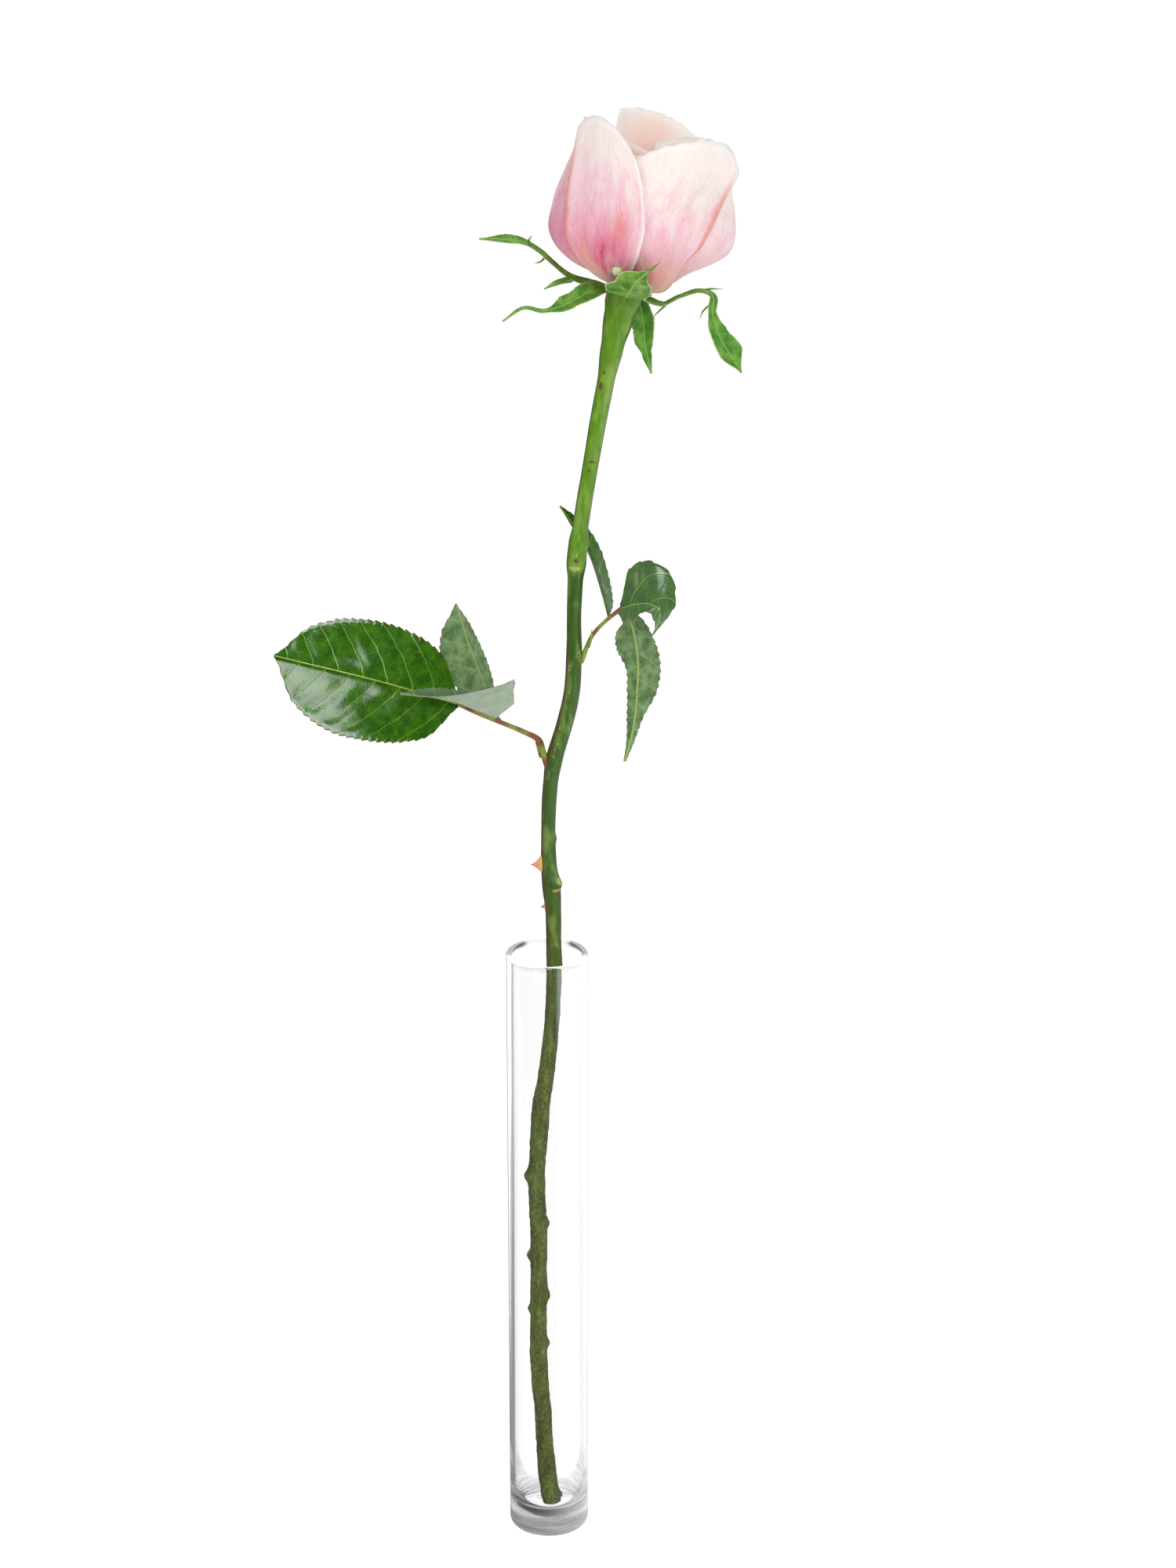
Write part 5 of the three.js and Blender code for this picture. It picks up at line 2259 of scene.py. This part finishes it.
    def dress(self) -> None:
        """Builds the leaf, in the place of its node."""
        for index, leaflet in enumerate(self.leaflets, start=1):
            piece = self.build_leaflet(f"{self.name}_leaflet_{index}", leaflet, index * 4.1)
            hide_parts(self.name)
            seat(piece)
        limbs = [self.build_stalk()]
        limbs += [self.build_stipule(n, line) for n, line in enumerate(self.stipules, start=1)]
        for limb in limbs:
            dress(limb, StalkSkin().material())
            seat(limb)


LOWER_LEFT_LEAF = Leaf(
    name="leaf_lower_left",
    stalk=(
        (0.2, 14.2, 304.5), (-1.2, 12.4, 310), (-2.8, 9.6, 316), (-8, 7, 320), (-18.4, 3, 326),
        (-31.7, -2, 333.8),
    ),
    stalk_radii=(1.3, 1.2, 0.9, 0.8, 0.9, 0.7),
    leaflets=(
        Leaflet(
            rib=((-30.5, -1.6, 333.2), (-57, -7, 343.5), (-95.6, -12, 355.3)),
            left=(0.5, 14, 19, 21.5, 22.5, 22.3, 19.5, 13.5, 0.5),
            right=(0.5, 13, 18, 20, 20.5, 19.5, 17, 11.5, 0.5),
            facing=((0, -0.85, 0.52), (0.1, -0.9, 0.4)),
            fold=(6, 6),
            rows=220,
            columns=110,
        ),
        Leaflet(
            rib=((-18.4, 3, 326.6), (-22.6, 5.5, 339), (-27.6, 9, 351.6), (-32.3, 12, 366.8)),
            left=(0.5, 6, 9, 10, 9, 6, 0.5),
            right=(0.5, 5, 10, 12.5, 11.5, 8, 0.5),
            facing=((-0.68, 0.6, -0.2), (-0.72, 0.55, -0.2)),
            fold=(20, 20),
        ),
        Leaflet(
            rib=(
                (-18.4, 3, 326.4), (-23.7, 0.5, 330.2), (-29.9, -5, 335.1), (-37.8, -10, 338.9),
                (-44.5, -14, 341.3), (-51, -17, 343),
            ),
            left=(9, 17.5, 13, 8.5, 5.5, 3, 0.5),
            right=(1, 6, 5.5, 4.5, 3.5, 2, 0.5),
            facing=((0.4, 0.45, 0.8), (0.1, -0.5, 0.85)),
            fold=(66, 24),
            lobe=3,
            sheen=0.44,
        ),
    ),
    stipules=(
        ((-2, 12.6, 308), (-3.2, 11, 313), (-4.4, 9, 318.5)),
        ((-1.8, 12.4, 308), (-1.5, 9.8, 312.5), (-2, 7.6, 317.4)),
    ),
)

UPPER_RIGHT_LEAF = Leaf(
    name="leaf_upper_right",
    stalk=((12.4, 17.2, 343), (16.6, 16, 353.6), (20.9, 15.4, 358.8), (27, 14.8, 364.2)),
    stalk_radii=(1.2, 0.9, 0.8, 0.9),
    leaflets=(
        Leaflet(
            rib=(
                (26.4, 14.6, 363.8), (29.6, 11, 361.8), (32.1, 6, 353.5), (32.9, 4, 345.4),
                (32.6, 3, 338), (32, 2, 328.7), (30.4, 1.2, 319.3), (28.2, 0.8, 311),
            ),
            left=(2, 8, 9, 5.5, 4.7, 4, 2.2, 0.5),
            right=(2, 7.5, 10, 11, 9.5, 4, 2, 0.5),
            facing=((-0.1, 0.9, -0.3), (0.1, 1, 0)),
            fold=(42, 42),
        ),
        Leaflet(
            rib=(
                (22.6, 15.4, 360.6), (20, 23, 368.5), (16.4, 30, 378), (12, 33, 386.6),
                (5.1, 33, 397),
            ),
            left=(0.5, 7, 9.3, 9, 6.5, 3.5, 0.5),
            right=(0.5, 7, 9.3, 9, 6.5, 3.5, 0.5),
            facing=((0.95, -0.15, 0.1), (0.9, -0.35, 0.2)),
            fold=(14, 14),
        ),
        Leaflet(
            rib=(
                (26.6, 14.6, 364.2), (32.3, 10, 367.3), (37, 6, 368.6), (40, 3.5, 367.4),
                (40.4, 3, 363.6), (38.4, 4, 357.7),
            ),
            left=(2, 12.5, 16, 14, 7, 2.5, 0.5),
            right=(1, 5, 7, 6, 5, 3, 0.5),
            facing=((-0.25, -0.75, 0.65), (0.9, -0.4, 0.2)),
            fold=(10, 10),
            sheen=0.2,
        ),
    ),
    stipules=(((15, 16, 349), (16, 13.4, 353), (16.4, 11.6, 357.4)),),
)


# ------------------------------------------------------------------ the studio


@dataclass
class Studio:
    """A white sweep, a soft dome of light, soft boxes and the camera."""

    lens: float = 90.0
    sensor: float = 36.0
    nearest: float = 0.05
    pitch: float = 20.3
    stand: Triple = (0.015, -1.323, 0.792)
    floor_reach: float = 8.0
    dome: float = 0.6
    mirrored_dim: Colour = (0.12, 0.12, 0.12)
    mirrored_window: Colour = (13.0, 13.6, 14.2)
    window_sill: tuple[float, float] = (0.1, 0.16)
    window_head: tuple[float, float] = (0.92, 0.88)
    window_left: tuple[float, float] = (-0.02, 0.0)
    window_right: tuple[float, float] = (0.22, 0.2)
    seen_light: Colour = (2.1, 2.1, 2.1)
    through_light: Colour = (1.8, 1.8, 1.8)
    through_dim: Colour = (0.6, 0.6, 0.6)
    boxes: tuple[tuple[Triple, float, float], ...] = (
        ((0.35, -1.1, 1.2), 0.5, 6.5),
        ((-0.9, -0.6, 0.9), 0.5, 1.5),
        ((0.3, 0.9, 1.3), 0.6, 3.0),
    )
    aim: Triple = (0.0, 0.0, 0.38)

    def place_camera(self) -> None:
        """Stands the camera where the photograph was taken from."""
        bpy.ops.object.camera_add(
            location=self.stand, rotation=(math.radians(90 - self.pitch), 0, 0)
        )
        camera = bpy.context.object
        camera.data.lens = self.lens
        camera.data.sensor_width = self.sensor
        camera.data.clip_start = self.nearest
        bpy.context.scene.camera = camera

    def place_lights(self) -> None:
        """Hangs the soft boxes round the rose."""
        for index, (place, size, power) in enumerate(self.boxes, start=1):
            aim = (Vector(self.aim) - Vector(place)).to_track_quat("-Z", "Y").to_euler()
            bpy.ops.object.light_add(type="AREA", location=place, rotation=aim)
            box = bpy.context.object
            box.name = f"soft_box_{index}"
            box.data.shape = "SQUARE"
            box.data.size = size
            box.data.energy = power

    def place_floor(self) -> None:
        """Lays the sweep that the vase stands on."""
        bpy.ops.mesh.primitive_circle_add(vertices=96, radius=self.floor_reach, fill_type="NGON")
        floor = named("floor")
        dress(floor, PaleFloor().material())

    def light_dome(self) -> None:
        """Lights the dome evenly, but mirrored light sees a dim room with a bright window."""
        world = bpy.data.worlds.new("dome")
        world.use_nodes = True
        bpy.context.scene.world = world
        tree = Tree(world.node_tree)
        sky = world.node_tree.nodes["Background"]
        across, ahead, up = tree.parts(tree.node("ShaderNodeTexCoord").outputs["Generated"])
        behind = tree.spread(ahead, 0.0, 0.7)
        high = tree.times(tree.spread(up, *self.window_sill), tree.spread(up, *self.window_head))
        wide = tree.times(
            tree.spread(across, *self.window_left), tree.spread(across, *self.window_right)
        )
        wide = tree.times(wide, tree.spread(ahead, 0.0, -0.1))
        window = tree.times(high, wide)
        bounced, through, straight = tree.kinds_of_light()
        shown = tree.blend(behind, self.mirrored_dim, WHITE)
        shown = tree.blend(window, shown, self.mirrored_window)
        passed = tree.blend(behind, self.through_dim, self.through_light)
        glow = tree.blend(straight, WHITE, self.seen_light)
        glow = tree.blend(through, glow, passed)
        tree.feed(sky.inputs["Color"], tree.blend(bounced, glow, shown))
        sky.inputs["Strength"].default_value = self.dome

    def build(self) -> None:
        """Sets up the whole studio."""
        deselect()
        self.place_camera()
        self.place_lights()
        self.place_floor()
        self.light_dome()
        bpy.context.scene.view_settings.view_transform = "Standard"


def main() -> None:
    """Dresses the rose and sets up the studio round it."""
    logging.basicConfig(level=logging.INFO, format="%(message)s")
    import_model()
    deselect()
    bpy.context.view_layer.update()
    Studio().build()
    make_shared_groups()
    head = Head()
    BudVase().dress()
    Stem(head).dress()
    Bloom(head).dress()
    Calyx(head).dress()
    LOWER_LEFT_LEAF.dress()
    UPPER_RIGHT_LEAF.dress()


if __name__ == "__main__":
    main()
